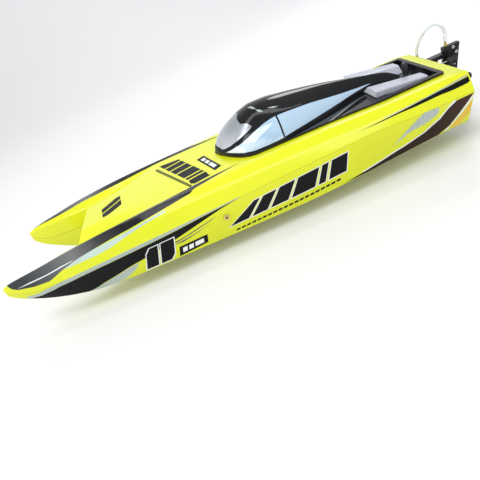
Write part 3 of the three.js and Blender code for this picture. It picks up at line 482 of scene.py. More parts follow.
# ---------------------------------------------------------------- hull lines
# Port side: x, half breadth, height.
RIDGE = [
    (0, 74, 80), (22, 76, 83), (100, 77, 84.5), (200, 77, 88), (343, 76.5, 89.5), (441, 77, 87.5),
    (517, 76.5, 84), (595, 78, 79), (635, 79, 75), (686, 81, 71), (700, 80.4, 67),
]
PANEL_HALF = [(440, 62), (480, 52), (517, 43), (552, 37), (574, 37), (700, 37)]
VALLEY = [
    (0, 70, 0), (440, 70, 0), (480, 70, 2.5), (520, 70, 6.5), (560, 70, 11.5), (586, 70, 13.5),
    (634, 70.5, 7.5), (665, 72.5, 5.5), (690, 76.5, 2.5), (700, 79, 2),
]
RIM = [
    (0, 76, 79.5), (22, 78, 82.6), (100, 80.5, 84.3), (200, 82, 87.8), (343, 83, 89.3),
    (441, 84.5, 89), (517, 87, 87.2), (595, 88.3, 82.2), (635, 87.2, 77.6), (686, 83.2, 71.2),
    (700, 81, 66.5),
]
SHOULDER = [
    (0, 79, 76), (40, 85, 75), (110, 89, 75), (343, 90, 77), (560, 89.5, 69), (635, 88, 63),
    (686, 84, 61), (700, 81.5, 62),
]
SEAM = [
    (0, 89, 55), (80, 92.5, 57), (137, 94, 60), (250, 95, 58), (342, 95, 55), (448, 95, 51),
    (510, 94.5, 49), (560, 93, 47), (621, 90, 45), (654, 87.3, 44.5), (685, 83.5, 50),
    (700, 81.5, 57.5),
]
CHINE = [
    (0, 70, 8), (50, 76, 8), (110, 82, 7), (190, 87, 3), (270, 89, 1), (420, 89, 2), (500, 89, 3),
    (580, 87, 7), (610, 85, 12), (640, 83, 20), (670, 81.5, 32), (690, 81, 43), (700, 80.6, 52),
]
PAD_INNER, PAD_OUTER = 38, 62  # breadths of the keel pad's edges
PAD_FLARE_X, PAD_FLARE = 560, 0.13  # the pad widens ahead of this place
KEEL_HEIGHT = [
    (0, 0), (190, 0), (420, 0), (500, 0.6), (580, 4), (610, 9), (640, 17.5), (670, 30), (690, 41.5),
    (700, 51),
]
HULL_LENGTH = 700
HULL_WALL = 2.2
SEAM_GAP = 0.3
# Tunnel between the sponsons: x, half breadth at the bottom, half breadth at the top, roof.
TUNNEL = [
    (-10, 42, 36, 28), (430, 42, 36, 28), (480, 42, 36, 33), (520, 43, 36, 43), (550, 45, 36.5, 57),
    (574, 48, 37, 77.5), (575.5, 48, 41, 112), (586, 51, 69.5, 112), (612, 57, 70, 112),
    (634, 62, 70.5, 112), (665, 70, 72.5, 112), (690, 76, 76.5, 112), (710, 80, 80.5, 112),
]
TUNNEL_CORNER = 6
WALL_TOP = 66  # the bows' inner walls lean from here down to the keel
FAR = 160
HULL_STEP, TUNNEL_STEP = 4, 6


def stations(first, last, step, *fixed):
    """Even places from first to last, with the fixed ones added."""
    count = max(2, round((last - first) / step))
    even = {round(first + (last - first) * i / count, 3) for i in range(count + 1)}
    return sorted(even | {x for x in fixed if first < x < last})


def value_at(rows, x, column=1):
    """Smooth monotone curve through table rows; returns one column at x."""
    last = len(rows) - 1
    x = min(max(x, rows[0][0]), rows[last][0])
    i = 0
    while i < last - 1 and x > rows[i + 1][0]:
        i += 1

    def slope(k):
        return (rows[k + 1][column] - rows[k][column]) / (rows[k + 1][0] - rows[k][0])

    def tangent(k):
        if k in (0, last):
            return slope(min(k, last - 1))
        before, after = slope(k - 1), slope(k)
        return 0 if before * after <= 0 else 2 * before * after / (before + after)

    span = rows[i + 1][0] - rows[i][0]
    t = (x - rows[i][0]) / span
    return (
        (2 * t**3 - 3 * t**2 + 1) * rows[i][column] + (t**3 - 2 * t**2 + t) * span * tangent(i)
        + (3 * t**2 - 2 * t**3) * rows[i + 1][column] + (t**3 - t**2) * span * tangent(i + 1)
    )


# Corners of the port half section: centreline, panel edge, valley, ridge, rim, shoulder, seam,
# chine, keel pad's outer and inner edges, centreline. Places across the skin are counted in the
# same order, so 3.5 is halfway from the ridge to the rim.
def hull_corners(x, inset=0.0):
    keel = value_at(KEEL_HEIGHT, x) + inset
    chine = (value_at(CHINE, x, 1) - inset, value_at(CHINE, x, 2) + inset)
    pad = min(PAD_OUTER + max(0, (x - PAD_FLARE_X) * PAD_FLARE), chine[0] - 1.5)
    deck = value_at(RIDGE, x, 2) - inset
    low = min(keel, chine[1] - 0.2)
    return [
        (0, deck),
        (value_at(PANEL_HALF, x) - 0.2 * inset, deck),
        (value_at(VALLEY, x, 1), deck - value_at(VALLEY, x, 2)),
        (value_at(RIDGE, x, 1) - 0.4 * inset, deck),
        (value_at(RIM, x, 1) - inset, value_at(RIM, x, 2) - inset),
        (value_at(SHOULDER, x, 1) - inset, value_at(SHOULDER, x, 2) - 0.5 * inset),
        (value_at(SEAM, x, 1) - inset, value_at(SEAM, x, 2)),
        chine,
        (pad, low),
        (PAD_INNER, low),
        (0, low),
    ]


ROUNDING = [0, 6, 9, 2.2, 1.6, 3, 2.5, 1.4, 1.2, 1, 0]  # softening of each corner, in mm


def hull_section(x, inset=0.0):
    """The port half section as (place across the skin, breadth, height), corners rounded."""
    corners = hull_corners(x, inset)
    section = [(0.0, *corners[0])]
    for k in range(1, len(corners) - 1):
        before, corner, after = corners[k - 1], corners[k], corners[k + 1]
        back = math.dist(before, corner)
        ahead = math.dist(corner, after)
        reach = min(ROUNDING[k], 0.45 * back, 0.45 * ahead)
        start = [c + (b - c) * reach / back for b, c in zip(before, corner)]
        end = [c + (a - c) * reach / ahead for a, c in zip(after, corner)]
        for i in range(5):
            u = i / 4
            bent = [
                (1 - u) ** 2 * s + 2 * u * (1 - u) * c + u**2 * e
                for s, c, e in zip(start, corner, end)
            ]
            along = -reach / back * (1 - 2 * u) if u < 0.5 else reach / ahead * (2 * u - 1)
            section.append((k + along, *bent))
    section.append((10.0, *corners[-1]))
    return section


def hull_form(name, inset=0.0):
    return loft(name, [
        mirrored(x, [(y, z) for _, y, z in hull_section(x, inset)])
        for x in stations(inset, HULL_LENGTH - 5 * inset, HULL_STEP)
    ])


def tunnel_form(name, outset=0.0):
    """The space between the sponsons; a positive outset grows it sideways, up and aft."""
    rings = []
    for x in stations(-10, 710, TUNNEL_STEP, *(row[0] for row in TUNNEL)):
        bottom, top, roof = (value_at(TUNNEL, x, column) for column in (1, 2, 3))
        corner = [(top - TUNNEL_CORNER, roof + outset)]
        for i in range(1, 4):
            turn = math.pi / 2 * i / 4
            corner.append((top - TUNNEL_CORNER + (TUNNEL_CORNER + outset) * math.sin(turn),
                           roof - TUNNEL_CORNER + outset * math.cos(turn)
                           + TUNNEL_CORNER * math.cos(turn)))
        rings.append(mirrored(x - outset, [
            (0, roof + outset), *corner, (top + outset, roof + outset - TUNNEL_CORNER),
            (top + outset, min(roof - TUNNEL_CORNER - 1, WALL_TOP)), (bottom + outset, 0),
            (bottom + outset, -FAR), (0, -FAR),
        ]))
    return loft(name, rings)


def below_seam(name, rise):
    return loft(name, [
        mirrored(x, [(0, value_at(SEAM, x, 2) + rise), (FAR, value_at(SEAM, x, 2) + rise),
                     (FAR, -FAR), (0, -FAR)])
        for x in stations(-20, HULL_LENGTH + 20, 6)
    ])


# Canopy outline: a parabolic nose, parallel sides and a slightly narrower tail.
NOSE_X, NOSE_SHOULDER_X, CANOPY_HALF = 350, 294, 67
WAIST_X, TAIL_X, TAIL_HALF = 118, 22.5, 62
HATCH_INSET = 4
FLANGE = (1.6, 3.4)
TRAY_WALL, TRAY_FLOOR, TRAY_RAMP = 2, 77, (66, 104)


def canopy_outline(inset):
    port = []
    for i in range(29):
        t = math.cos(math.pi / 2 * i / 28)
        port.append((NOSE_SHOULDER_X + (NOSE_X - NOSE_SHOULDER_X - inset) * t,
                     (CANOPY_HALF - inset) * (1 - t * t)))
    port.append((WAIST_X, CANOPY_HALF - inset))
    for i in range(7):
        turn = math.pi / 2 * i / 6
        port.append((TAIL_X + inset + 4 * (1 - math.sin(turn)),
                     TAIL_HALF - inset - 4 * (1 - math.cos(turn))))
    return port + [(x, -y) for x, y in reversed(port[1:])]


def deck_height(x):
    return value_at(RIDGE, x, 2)


def over_deck(name, low, high):
    return loft(name, [
        mirrored(x, [(0, deck_height(x) + high), (FAR, deck_height(x) + high),
                     (FAR, deck_height(x) + low), (0, deck_height(x) + low)])
        for x in stations(-5, 420, 8)
    ])


# ---------------------------------------------------------------- hull shell
def line_inside(piece, inner, reach=0.0012):
    """Gives the faces that lie deeper than the outer skin the inner material."""
    piece.data.materials.append(inner)
    for face in piece.data.polygons:
        spot = face.center
        gap = min(abs((skin.find_nearest(spot))[3]) for skin in SKINS)
        face.material_index = 1 if gap > reach else 0


outer_form = hull_form("outer_form")
tunnel = tunnel_form("tunnel")
from_outside = bpy.context.evaluated_depsgraph_get()
SKINS = [BVHTree.FromObject(form, from_outside) for form in (outer_form, tunnel)]
cavity = hull_form("cavity", HULL_WALL)
boolean(cavity, tunnel_form("tunnel_skin", HULL_WALL), "DIFFERENCE")
boolean(outer_form, tunnel, "DIFFERENCE")
shell = boolean(outer_form, cavity, "DIFFERENCE")
lower = boolean(copy_of(shell, "hull_bottom"), below_seam("low", 0), "INTERSECT")
boolean(lower, cylinder("port_hole", (370, 80, 35), (370, 100, 35), 3.1), "DIFFERENCE")
deck = boolean(shell, below_seam("high", SEAM_GAP), "DIFFERENCE")
deck.name = "hull_deck"
boolean(deck, prism("hatch", canopy_outline(HATCH_INSET), 60, 120), "DIFFERENCE")
for y, z, radius in ((-23, 64, 2.2), (-64, 66, 2.3), (69, 70, 2.8)):
    boolean(deck, cylinder("bore", (-5, y, z), (8, y, z), radius), "DIFFERENCE")
for piece in (lower, deck):
    piece.data.materials.clear()
    piece.data.materials.append(hull_yellow)
    line_inside(piece, inner_glass)
    polish(piece)
stands_for(lower, "hull", "hull_yellow", "lower_hull")
stands_for(deck, "hull", "hull_yellow", "upper_deck")


# ---------------------------------------------------------------- canopy
# Bubble: roof height, upper and lower edges of the side windows.
ROOF = [
    (58, 86), (76, 97), (112, 107), (139, 114), (171, 122), (201, 128), (230, 133), (257, 137),
    (275, 137.5), (292, 134), (315, 125), (331, 116), (340, 108.5), (346, 101), (349, 93),
]
BROW = [
    (58, 6, 82), (100, 8.5, 95), (126, 12.5, 98), (162, 22, 105), (215, 34, 117), (255, 40, 122),
    (292, 42, 118), (315, 39.5, 112), (330, 33, 104), (343, 17, 95), (349, 1.2, 92.5),
]
SILL = [
    (58, 7, 80), (100, 10, 92), (126, 16, 93.5), (163, 33, 94.5), (199, 47, 94), (232, 57, 93.5),
    (262, 64, 93), (294, 64.5, 93), (308, 60.5, 93), (321, 49.5, 93), (333, 34.5, 92.8),
    (343, 15.8, 92.2), (349, 1.6, 91.6),
]


def bubble_section(x, inset=0.0):
    """The bubble's port half section as (place across the skin, breadth, height)."""
    top = value_at(ROOF, x) - inset
    brow = (max(value_at(BROW, x, 1) - inset, 0.6),
            min(value_at(BROW, x, 2) - 0.6 * inset, top - 0.2))
    sill = (max(value_at(SILL, x, 1) - inset, brow[0] + 0.2),
            min(value_at(SILL, x, 2), brow[1] - 0.2))
    bulge = 0.32 * (brow[1] - sill[1])
    section = []
    for i in range(13):
        s = i / 12
        section.append((s, s * brow[0], brow[1] + (top - brow[1]) * math.cos(math.pi / 2 * s)))
    for i in range(1, 9):
        u = i / 8
        puff = bulge * u * (1 - u)
        section.append((1 + u, brow[0] + (sill[0] - brow[0]) * u + puff,
                        brow[1] + (sill[1] - brow[1]) * u + puff))
    return section


def tray_floor(x):
    flat, high = TRAY_RAMP
    if x >= high:
        return deck_height(x) + FLANGE[1]
    t = max((x - flat) / (high - flat), 0)
    t = t * t * (3 - 2 * t)
    return TRAY_FLOOR + t * (deck_height(high) + FLANGE[1] - TRAY_FLOOR)


def tail_half(x):
    return CANOPY_HALF + (TAIL_HALF - CANOPY_HALF) * (WAIST_X - x) / (WAIST_X - TAIL_X)


def bubble_form(name, inset, foot, first, last):
    rings = []
    for x in stations(first, last, 2.5):
        half = [(y, z) for _, y, z in bubble_section(x, inset)]
        low = min(foot(x), half[-1][1] - 0.3)
        half += [(half[-1][0] + 0.8, low), (0, low)]
        rings.append(mirrored(x, half))
    return loft(name, rings)


def tail_form(name, margin, low, high):
    first = TAIL_X + margin
    return loft(name, [
        mirrored(x, [(0, high(x)), (tail_half(x) - margin, high(x)),
                     (tail_half(x) - margin, low(x)), (0, low(x))])
        for x in stations(first, TRAY_RAMP[1], 3, TRAY_RAMP[0])
    ])


OUTER_MARGIN = HATCH_INSET + 0.5
cover = prism("canopy_shell", canopy_outline(0), 60, 120)
boolean(cover, over_deck("flange", *FLANGE), "INTERSECT")
boolean(cover, tail_form("tail_body", OUTER_MARGIN, lambda x: tray_floor(x) - TRAY_WALL,
                         lambda x: deck_height(x) + FLANGE[0] + 0.5), "UNION")
boolean(cover, tail_form("tail_recess", OUTER_MARGIN + TRAY_WALL, tray_floor, lambda x: FAR),
        "DIFFERENCE")
boolean(cover, bubble_form("bubble", 0, lambda x: tray_floor(x) - 0.6, 58, 349), "UNION")
boolean(cover, bubble_form("hollow", 2, lambda x: deck_height(x) - 8, 112, 343), "DIFFERENCE")
boolean(cover, cylinder("stud_hole", (46, 0, 60), (46, 0, 90), 2.1), "DIFFERENCE")
cover.data.materials.clear()
cover.data.materials.append(black_gloss)
polish(cover, 26)
stands_for(cover, "canopy", "canopy_black", "canopy")


# ---------------------------------------------------------------- printed livery
SKIN_SPREAD = 50.0  # evens out millimetres along and places across while triangulating
FILM_FOOT = 0.03  # height of a film's underside over the skin


def lay(name, section, shapes, material, body, lift, side=1, grid=(5, 0.05)):
    """Thin printed film over a skin. shapes are outlines of (x, place across the skin)."""
    points, faces = [], []
    for outline in shapes:
        low = [min(p[i] for p in outline) for i in (0, 1)]
        high = [max(p[i] for p in outline) for i in (0, 1)]
        inside = [
            (x, t)
            for x in stations(low[0], high[0], grid[0])[1:-1]
            for t in (round(grid[1] * k, 4) for k in range(math.floor(low[1] / grid[1]) + 1,
                                                           math.ceil(high[1] / grid[1])))
            if within(outline, x, t)
        ]
        edge = []
        for (x0, t0), (x1, t1) in zip(outline, [*outline[1:], outline[0]]):
            pieces = max(1, math.ceil(max(abs(x1 - x0) / grid[0], abs(t1 - t0) / grid[1])))
            edge += [(x0 + (x1 - x0) * i / pieces, t0 + (t1 - t0) * i / pieces)
                     for i in range(pieces)]
        count = len(edge)
        flat = [Vector((x, t * SKIN_SPREAD)) for x, t in [*edge, *inside]]
        ring = [(i, (i + 1) % count) for i in range(count)]
        found, _, triangles, *_ = delaunay_2d_cdt(flat, ring, [list(range(count))], 1, 1e-5)
        start = len(points)
        for film in (lift, FILM_FOOT):
            points += [on_skin(section, p.x, p.y / SKIN_SPREAD, film, side) for p in found]
        size = len(found)
        uses = {}
        for triangle in triangles:
            a, b, c = (start + i for i in triangle)
            faces += [(a, b, c), (c + size, b + size, a + size)]
            for first, second in ((a, b), (b, c), (c, a)):
                uses[(first, second)] = uses.get((first, second), 0) + 1
        for first, second in uses:
            if (second, first) not in uses:
                faces.append((second, first, first + size, second + size))
    piece = facing_out(place_mesh(name, points, faces, [material]))
    polish(piece, 40)
    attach(piece, body)
    return piece


def within(outline, x, t, margin=(0.7, 0.008)):
    """True for a point inside the outline and not right at its edge."""
    odd = False
    for (x0, t0), (x1, t1) in zip(outline, [*outline[1:], outline[0]]):
        if (t0 > t) != (t1 > t) and x < x0 + (x1 - x0) * (t - t0) / (t1 - t0):
            odd = not odd
        run = ((x1 - x0) / margin[0], (t1 - t0) / margin[1])
        size = run[0] ** 2 + run[1] ** 2 or 1
        share = ((x - x0) / margin[0] * run[0] + (t - t0) / margin[1] * run[1]) / size
        share = min(max(share, 0), 1)
        if math.hypot((x - x0) / margin[0] - share * run[0],
                      (t - t0) / margin[1] - share * run[1]) < 1:
            return False
    return odd


def skin_point(section, x, t):
    """The point of the skin at x and at place t across it."""
    row = section(x)
    sign = -1 if t < 0 else 1
    t = abs(t)
    for (t0, y0, z0), (t1, y1, z1) in zip(row, row[1:]):
        if t <= t1:
            u = (t - t0) / (t1 - t0) if t1 > t0 else 0
            return Vector((x, sign * (y0 + (y1 - y0) * u), z0 + (z1 - z0) * u))
    return Vector((x, sign * row[-1][1], row[-1][2]))


def on_skin(section, x, t, lift, side):
    """A point lifted square off the skin, on one side of the boat."""
    here = skin_point(section, x, t)
    along = skin_point(section, x + 1.5, t) - skin_point(section, x - 1.5, t)
    across = skin_point(section, x, t + 0.02) - skin_point(section, x, t - 0.02)
    normal = along.cross(across).normalized()
    if normal.dot(here - Vector((here.x, 0, 30))) < 0:
        normal = -normal
    place = here + normal * lift
    return (place.x, side * place.y, place.z)


def box_marks(corners, shapes, grow=(0, 0)):
    """Shapes drawn in a unit box, u along and v up, laid into a slanted box of four corners.

    grow widens each shape along and up, for an outline behind it.
    """
    low_left, low_right, top_left, top_right = corners
    laid = []
    for shape in shapes:
        middle = [sum(p[i] for p in shape) / len(shape) for i in (0, 1)]
        outline = []
        for u, v in shape:
            u += math.copysign(grow[0], u - middle[0])
            v += math.copysign(grow[1], v - middle[1]) if abs(v - 0.5) > 0.2 else 0
            low = [a + (b - a) * u for a, b in zip(low_left, low_right)]
            top = [a + (b - a) * u for a, b in zip(top_left, top_right)]
            outline.append(tuple(a + (b - a) * v for a, b in zip(low, top)))
        laid.append(outline)
    return laid


def bar(start, width, low=0.0, high=1.0):
    """An upright block in a unit box."""
    return [(start, low), (start + width, low), (start + width, high), (start, high)]


def across_deck(x, y):
    """The place across the hull's skin over a breadth y on the deck."""
    row = hull_section(x)
    for (t0, y0, _), (t1, y1, _) in zip(row, row[1:]):
        if abs(y) <= y1:
            return math.copysign(t0 + (t1 - t0) * (abs(y) - y0) / max(y1 - y0, 1e-6), y)
    return math.copysign(4.0, y)


def hull_print(name, material, shapes, lift, sides=(1, -1)):
    """One printed film over the hull for each side."""
    for side in sides:
        label = name + ("_port" if side > 0 else "_starboard") * (len(sides) > 1)
        lay(label, hull_section, shapes, material, "hull", lift, side)


# Blocks and slashes of the livery, in unit boxes, then outlines as (x, place across the skin).
BIG_MOTIF = [
    [(0, 0), (0.16, 0), (0.16, 1), (0.1, 1)],
    bar(0.19, 0.13), bar(0.35, 0.15), bar(0.53, 0.2), bar(0.76, 0.06), bar(0.85, 0.15),
]
SMALL_MOTIF = [
    [(0, 0), (0.42, 0), (0.42, 1), (0.12, 1), (0, 0.75)],
    [(0.52, 0), (0.88, 0), (1, 0.25), (1, 1), (0.52, 1)],
]
DASHES = [bar(0.04 + 0.0485 * i, 0.036) for i in range(20)]
PLATE_BARS = [bar(0.12, 0.16, 0.25, 0.75), bar(0.34, 0.16, 0.25, 0.75), bar(0.56, 0.3, 0.25, 0.75)]

STRIPE = [
    (586, 3.0), (570, 3.0), (550, 3.0), (530, 2.98), (492, 3.0), (445, 2.95), (399, 2.4),
    (360, 1.9), (323, 1.7), (335, 1.95), (362, 2.8), (401, 4.24), (432, 4.44), (464, 4.6),
    (495, 4.72), (527, 4.8), (559, 4.92), (583, 5.02), (607, 5.19), (633, 5.55), (656, 5.47),
    (680, 5.24), (687, 4.84), (690, 4.12), (689, 3.1), (665, 3.0), (634, 3.0), (604, 3.0),
]
MINT_PATCH = [
    (607, 5.2), (583, 5.03), (559, 4.92), (528, 4.9), (496, 4.84), (465, 4.72), (441, 4.6),
    (442, 4.8), (482, 5.0), (508, 5.15), (533, 5.32), (557, 5.36), (581, 5.32), (601, 5.24),
]
# Painted highlight: a thin white film along the bow's shoulder crease, where the crease catches the
# light.
BOW_CREASE_HIGHLIGHT = [
    (680, 5.04), (659, 4.92), (633, 4.95), (608, 4.88), (588, 4.92), (588, 4.97), (609, 5.0),
    (634, 5.05), (659, 5.05),
]
BLACK_BAND = [
    (676, 6.9), (669, 6.72), (650, 6.42), (627, 6.23), (593, 6.14), (561, 6.11), (529, 6.1),
    (497, 6.09), (466, 6.08), (435, 6.06), (403, 6.03), (345, 6), (374, 6.06), (398, 6.14),
    (424, 6.24), (457, 6.36), (491, 6.47), (525, 6.56), (543, 6.65), (569, 6.78), (597, 6.98),
    (615, 7), (640, 7), (662, 7),
]
SILVER_BAND = [
    (678, 6.5), (648, 6.08), (622, 6), (589, 5.96), (557, 5.95), (525, 5.94), (494, 5.94),
    (464, 5.95), (402, 5.95), (342, 5.94), (345, 5.99), (403, 6.02), (435, 6.05), (466, 6.07),
    (497, 6.08), (529, 6.09), (561, 6.1), (593, 6.13), (627, 6.22), (650, 6.41), (669, 6.71),
    (678, 6.93),
]
SILVER_FLASH = [
    (600, 7), (569, 6.8), (543, 6.67), (525, 6.58), (509, 6.56), (520, 6.75), (537, 6.92),
    (560, 7),
]
GREY_STREAKS = [
    [(462, 6.43), (435, 6.38), (410, 6.29), (382, 6.2), (391, 6.25), (420, 6.36), (447, 6.45)],
    [(456, 6.5), (430, 6.45), (405, 6.38), (392, 6.32), (412, 6.42), (440, 6.52)],
]
STERN_WEDGE = [
    (162, 5.31), (133, 5.25), (104, 5.16), (74, 5.08), (45, 5.03), (22, 5.04), (2, 5.07),
    (2, 5.36), (6, 5.41), (25, 5.38), (47, 5.3), (76, 5.3), (104, 5.28), (133, 5.33),
]
STERN_LINE = [
    (130, 5.12), (89, 5.04), (60, 5.0), (28, 4.84), (2, 4.8), (2, 5.03), (30, 5.01), (60, 5.05),
    (89, 5.1), (118, 5.16),
]
SWOOSH = [
    (1, 6.04), (21, 6.05), (31, 6.05), (37, 6.19), (49, 6.43), (72, 6.65), (103, 6.78),
    (134, 6.86), (166, 6.92), (200, 6.96), (166, 6.985), (135, 6.99), (104, 6.99), (71, 6.995),
    (50, 6.99), (32, 6.84), (18, 6.54), (8, 6.27),
]
SWOOSH_EDGES = [
    [(31, 6.015), (39, 6.17), (51, 6.4), (73, 6.62), (104, 6.745), (135, 6.83), (172, 6.9),
     (166, 6.92), (134, 6.86), (103, 6.78), (72, 6.65), (49, 6.43), (37, 6.19), (26, 6.045)],
    [(1, 6.07), (8, 6.29), (18, 6.56), (32, 6.86), (42, 6.95), (36, 6.96), (14, 6.58), (5, 6.33),
     (1, 6.2)],
]
LOZENGE = [
    (72, 5.97), (51, 6.03), (53, 6.22), (66, 6.33), (84, 6.38), (98, 6.42), (120, 6.62),
    (96, 6.27), (83, 6.1),
]
ORANGE_CORNER = [(1, 6.24), (5, 6.37), (14, 6.62), (33, 6.97), (18, 6.97), (1, 6.7)]

hull_print("bow_stripe", stripe_and_reflection, [STRIPE], 0.12)
hull_print("bow_patch", print_mint, [MINT_PATCH], 0.16)
# Painted highlight along the bow's shoulder crease:
hull_print("bow_crease_highlight", print_white, [BOW_CREASE_HIGHLIGHT], 0.19)
hull_print("side_band", print_black, [BLACK_BAND], 0.12)
hull_print("side_silver", print_silver, [SILVER_BAND, SILVER_FLASH], 0.16)
hull_print("side_streaks", print_grey, GREY_STREAKS, 0.12)
hull_print("stern_wedge", print_black, [STERN_WEDGE], 0.12)
hull_print("stern_line", print_silver, [STERN_LINE, LOZENGE], 0.16)
hull_print("stern_swoosh", stern_print, [SWOOSH], 0.12)
hull_print("stern_edges", print_white, SWOOSH_EDGES, 0.17)
hull_print("stern_orange", print_orange, [ORANGE_CORNER], 0.12)

# Boxes of the side's marks: low left, low right, top left and top right corners.
SIDE_BIG = ((371, 6.71), (192, 6.64), (342, 6.27), (185, 6.15))
SIDE_SMALL = ((506, 6.93), (462, 6.93), (492, 6.24), (449, 6.24))
SIDE_PLATE = ((455, 6.95), (409, 6.88), (449, 6.63), (405, 6.62))
SIDE_LINE = ((373, 6.92), (203, 6.82), (371, 6.87), (202, 6.76))
hull_print("side_motif_edge", print_white,
           box_marks(SIDE_BIG, BIG_MOTIF, (0.008, 0.045))
           + box_marks(SIDE_SMALL, SMALL_MOTIF, (0.035, 0.04)), 0.15)
hull_print("side_motif", print_black,
           box_marks(SIDE_BIG, BIG_MOTIF) + box_marks(SIDE_SMALL, SMALL_MOTIF)
           + box_marks(SIDE_LINE, DASHES), 0.2)
hull_print("side_plate", print_black, box_marks(SIDE_PLATE, [bar(0, 1)]), 0.12)
hull_print("side_plate_bars", print_white, box_marks(SIDE_PLATE, PLATE_BARS), 0.17)


def deck_marks(corners, shapes):
    """Like box_marks, with the box's corners given as (x, y) on the deck."""
    return [[(x, across_deck(x, y)) for x, y in outline]
            for outline in box_marks(corners, shapes)]


DECK_BIG = ((443, -57), (391, 68), (413, -61), (365, 64))
DECK_LINE = ((453, -52), (399, 72), (448, -54), (395, 70))
DECK_PLATE = ((380, -11), (359, 56), (368, -15), (348, 50))
DECK_SMALL = ((544, -1), (538, 34), (514, -24), (508, 16))
hull_print("deck_motif", print_black,
           deck_marks(DECK_BIG, BIG_MOTIF) + deck_marks(DECK_LINE, DASHES)
           + deck_marks(DECK_SMALL, SMALL_MOTIF) + deck_marks(DECK_PLATE, [bar(0, 1)]), 0.14, (1,))
hull_print("deck_motif_bars", print_white, deck_marks(DECK_PLATE, PLATE_BARS), 0.2, (1,))

SIDE_WINDOW = [
    (335, 1.56), (326, 1.5), (314, 1.44), (300, 1.33), (287, 1.22), (272, 1.13), (254, 1.09),
    (253.5, 1.2), (254, 1.6), (255, 1.95), (277, 1.96), (298, 1.94), (318, 1.88), (329, 1.76),
]
REAR_WINDOW = [
    (251, 1.1), (232, 1.1), (201, 1.08), (168, 1.06), (135, 1.1), (112, 1.3), (103, 1.55),
    (118, 1.8), (132, 1.9), (160, 1.94), (195, 1.93), (229, 1.94), (252.5, 1.95), (251.5, 1.6),
]
SCREEN_HALF = [
    (302, 0.31), (301, 0.62), (292, 0.78), (288, 0.96), (296, 1.06), (313, 1.16), (327, 1.15),
    (338, 0.9), (343, 0.5),
]
SCREEN = [(297, 0), *SCREEN_HALF, (344, 0), *[(x, -t) for x, t in reversed(SCREEN_HALF)]]
SPECKS = [
    [(274, 0.5), (271, 0.66), (265, 0.72), (268, 0.58)],
    [(258, 0.66), (250, 0.76), (243, 0.76), (251, 0.68)],
    [(282, 0.2), (276, 0.44), (272, 0.46), (277, 0.22)],
]
for side, word in ((1, "port"), (-1, "starboard")):
    lay(f"side_windows_{word}", bubble_section, [SIDE_WINDOW, REAR_WINDOW], window_blue, "canopy",
        0.12, side, (4, 0.08))
    lay(f"roof_marks_{word}", bubble_section, SPECKS, print_silver, "canopy", 0.1, side,
        (4, 0.08))
lay("windscreen", bubble_section, [SCREEN], windscreen, "canopy", 0.12, 1, (4, 0.08))


# ---------------------------------------------------------------- fittings with eased edges
FOLD_ANGLE = math.radians(38)


def eased(name, width):
    """A copy of a CAD piece with its coplanar facets merged and its edges rounded."""
    source = nodes[name]
    piece = copy_of(source, name + "_eased")
    work = bmesh.new()
    work.from_mesh(piece.data)
    bmesh.ops.remove_doubles(work, verts=work.verts, dist=1e-6)
    bmesh.ops.dissolve_limit(work, angle_limit=math.radians(1), verts=work.verts, edges=work.edges)
    work.to_mesh(piece.data)
    work.free()
    bevel = piece.modifiers.new("ease", "BEVEL")
    bevel.width = width / 1000
    bevel.segments = 3
    bevel.limit_method = "ANGLE"
    bevel.angle_limit = FOLD_ANGLE
    bevel.use_clamp_overlap = True
    settle(piece)
    polish(piece, 35)
    return stands_for(piece, source["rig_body"], slot_of[name], name)


# Edge radius of each eased piece, in mm.
EASED = {
    "rudder_head": 0.7, "rudder_bracket": 0.5, "rudder_blade": 0.3, "tiller_arm": 0.4,
    "strut": 0.6, "scoop_port": 0.5, "scoop_starboard": 0.5, "lock_bracket": 0.5,
    "drain_plug": 0.6, "rudder_clevis": 0.4, "servo_horn": 0.4, "steering_servo": 0.8,
    "servo_bracket": 0.6, "battery_port": 2.5, "battery_starboard": 2.5,
    "battery_tray_port": 0.5, "battery_tray_starboard": 0.5, "speed_controller": 0.6,
    "receiver": 1.2, "foam_block_port": 2, "foam_block_starboard": 2, "motor_mount": 0.5,
    "propeller": 0.25, "motor_can": 0.8, "water_jacket": 0.5, "shaft_coupler": 0.4,
    "outlet_fitting": 0.3, "rudder_nipple": 0.25, "transom_nipple": 0.25,
}
for name, width in EASED.items():
    eased(name, width)
for name, node in nodes.items():
    if not node.hide_render:
        node.data.polygons.foreach_set("use_smooth", [True] * len(node.data.polygons))
        node.data.set_sharp_from_angle(angle=math.radians(35))


# The lock knob: radius and height down its side, with twelve shallow grip flutes round its waist.
KNOB_X, KNOB_SIDES = 46, 72
FLUTES, FLUTE_DEPTH, FLUTE_SPAN = 12, 0.35, (81, 96)
KNOB = [
    (1.7, 63), (1.7, 77.6), (6.6, 77.6), (7, 78), (7, 78.8), (6.6, 79.2), (4.6, 79.8), (4.1, 80.6),
    (4, 82), (4, 85.4), (4.5, 86.4), (4.6, 87.2), (4.6, 95), (4.4, 96.6), (3.8, 98.2), (3.2, 98.8),
    (2.2, 99),
]


def knob_ring(radius, z):
    depth = FLUTE_DEPTH if FLUTE_SPAN[0] < z < FLUTE_SPAN[1] else 0.0
    ring = []
    for angle in (2 * math.pi * i / KNOB_SIDES for i in range(KNOB_SIDES)):
        reach = radius - depth * (0.5 - 0.5 * math.cos(FLUTES * angle))
        ring.append((KNOB_X + reach * math.cos(angle), reach * math.sin(angle), z))
    return ring


knob = loft("knob_turned", [knob_ring(*row) for row in KNOB], [MATERIALS["black_plastic"]])
stands_for(polish(knob), "lock_knob", "black_plastic", "lock_knob")

# The scoops' front faces: thin near-white plates from back to front, a painted highlight on the
# silver scoops.
SCOOP_FACE_X = (118.02, 118.2)
SCOOP_FACE = [(17.1, 90), (54.8, 90), (56.3, 97.2), (55.5, 97.9), (31.2, 97.9), (30.1, 97.3)]
for side, word in ((1, "port"), (-1, "starboard")):
    rings = [[(x, side * y, z) for y, z in SCOOP_FACE] for x in SCOOP_FACE_X]
    face = loft(f"scoop_face_highlight_{word}", rings, [scoop_face_highlight])
    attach(face, "canopy")


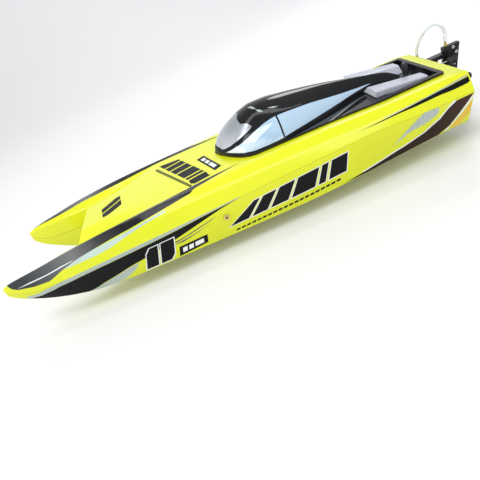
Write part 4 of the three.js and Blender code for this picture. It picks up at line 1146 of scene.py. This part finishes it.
# ---------------------------------------------------------------- floor and light
def floor_material():
    paint = Paint("floor")
    haze = paint.noise(0.8, 3)
    paint.feed("Base Color", paint.mix(haze, (0.80, 0.80, 0.80), (0.84, 0.84, 0.84)))
    paint.feed("Roughness", paint.span(haze, 0.3, 0.7, 0.55, 0.7))
    return paint.material


def studio_sweep():
    """A pale floor that curves up into the wall behind."""
    front, back, bend, height, half_width = 4.0, -1.6, 1.4, 5.0, 6
    profile = [(front, 0.0), (back, 0.0)]
    profile += [(back - bend * math.sin(a), bend - bend * math.cos(a))
                for a in (math.pi / 2 * i / 12 for i in range(1, 13))]
    profile.append((back - bend, height))
    points = [(x, y, z) for y, z in profile for x in (-half_width, half_width)]
    faces = [(2 * i, 2 * i + 1, 2 * i + 3, 2 * i + 2) for i in range(len(profile) - 1)]
    sweep = place_mesh("floor", points, faces, [floor_material()], mm=False)
    sweep.data.polygons.foreach_set("use_smooth", [True] * len(faces))
    return sweep


studio_sweep()
world = bpy.data.worlds.new("studio")
scene.world = world
world.use_nodes = True
sky = world.node_tree.nodes["Background"]
sky.inputs["Color"].default_value = (0.95, 0.97, 1.0, 1)
sky.inputs["Strength"].default_value = 0.62


def softbox(name, place, target, size, watts):
    light = bpy.data.lights.new(name, "AREA")
    light.shape = "RECTANGLE"
    light.size, light.size_y = size
    light.energy = watts
    lamp = bpy.data.objects.new(name, light)
    scene.collection.objects.link(lamp)
    lamp.location = place
    lamp.rotation_euler = (Vector(target) - Vector(place)).to_track_quat("-Z", "Y").to_euler()


softbox("key", (0.35, 0.5, 1.7), (0, 0, 0.08), (1.2, 0.8), 14.5)
softbox("side", (-0.2, 1.7, 0.6), (0, 0, 0.06), (1.6, 0.6), 8)
softbox("backdrop", (0, -0.6, 2.6), (0, -3, 1.2), (3.0, 0.8), 26)
softbox("front", (1.7, 0.5, 0.9), (0, 0, 0.08), (0.9, 0.7), 5)
softbox("rim", (-0.9, -1.3, 1.2), (0, 0, 0.08), (0.8, 0.5), 7)

scene.view_settings.view_transform = "Standard"
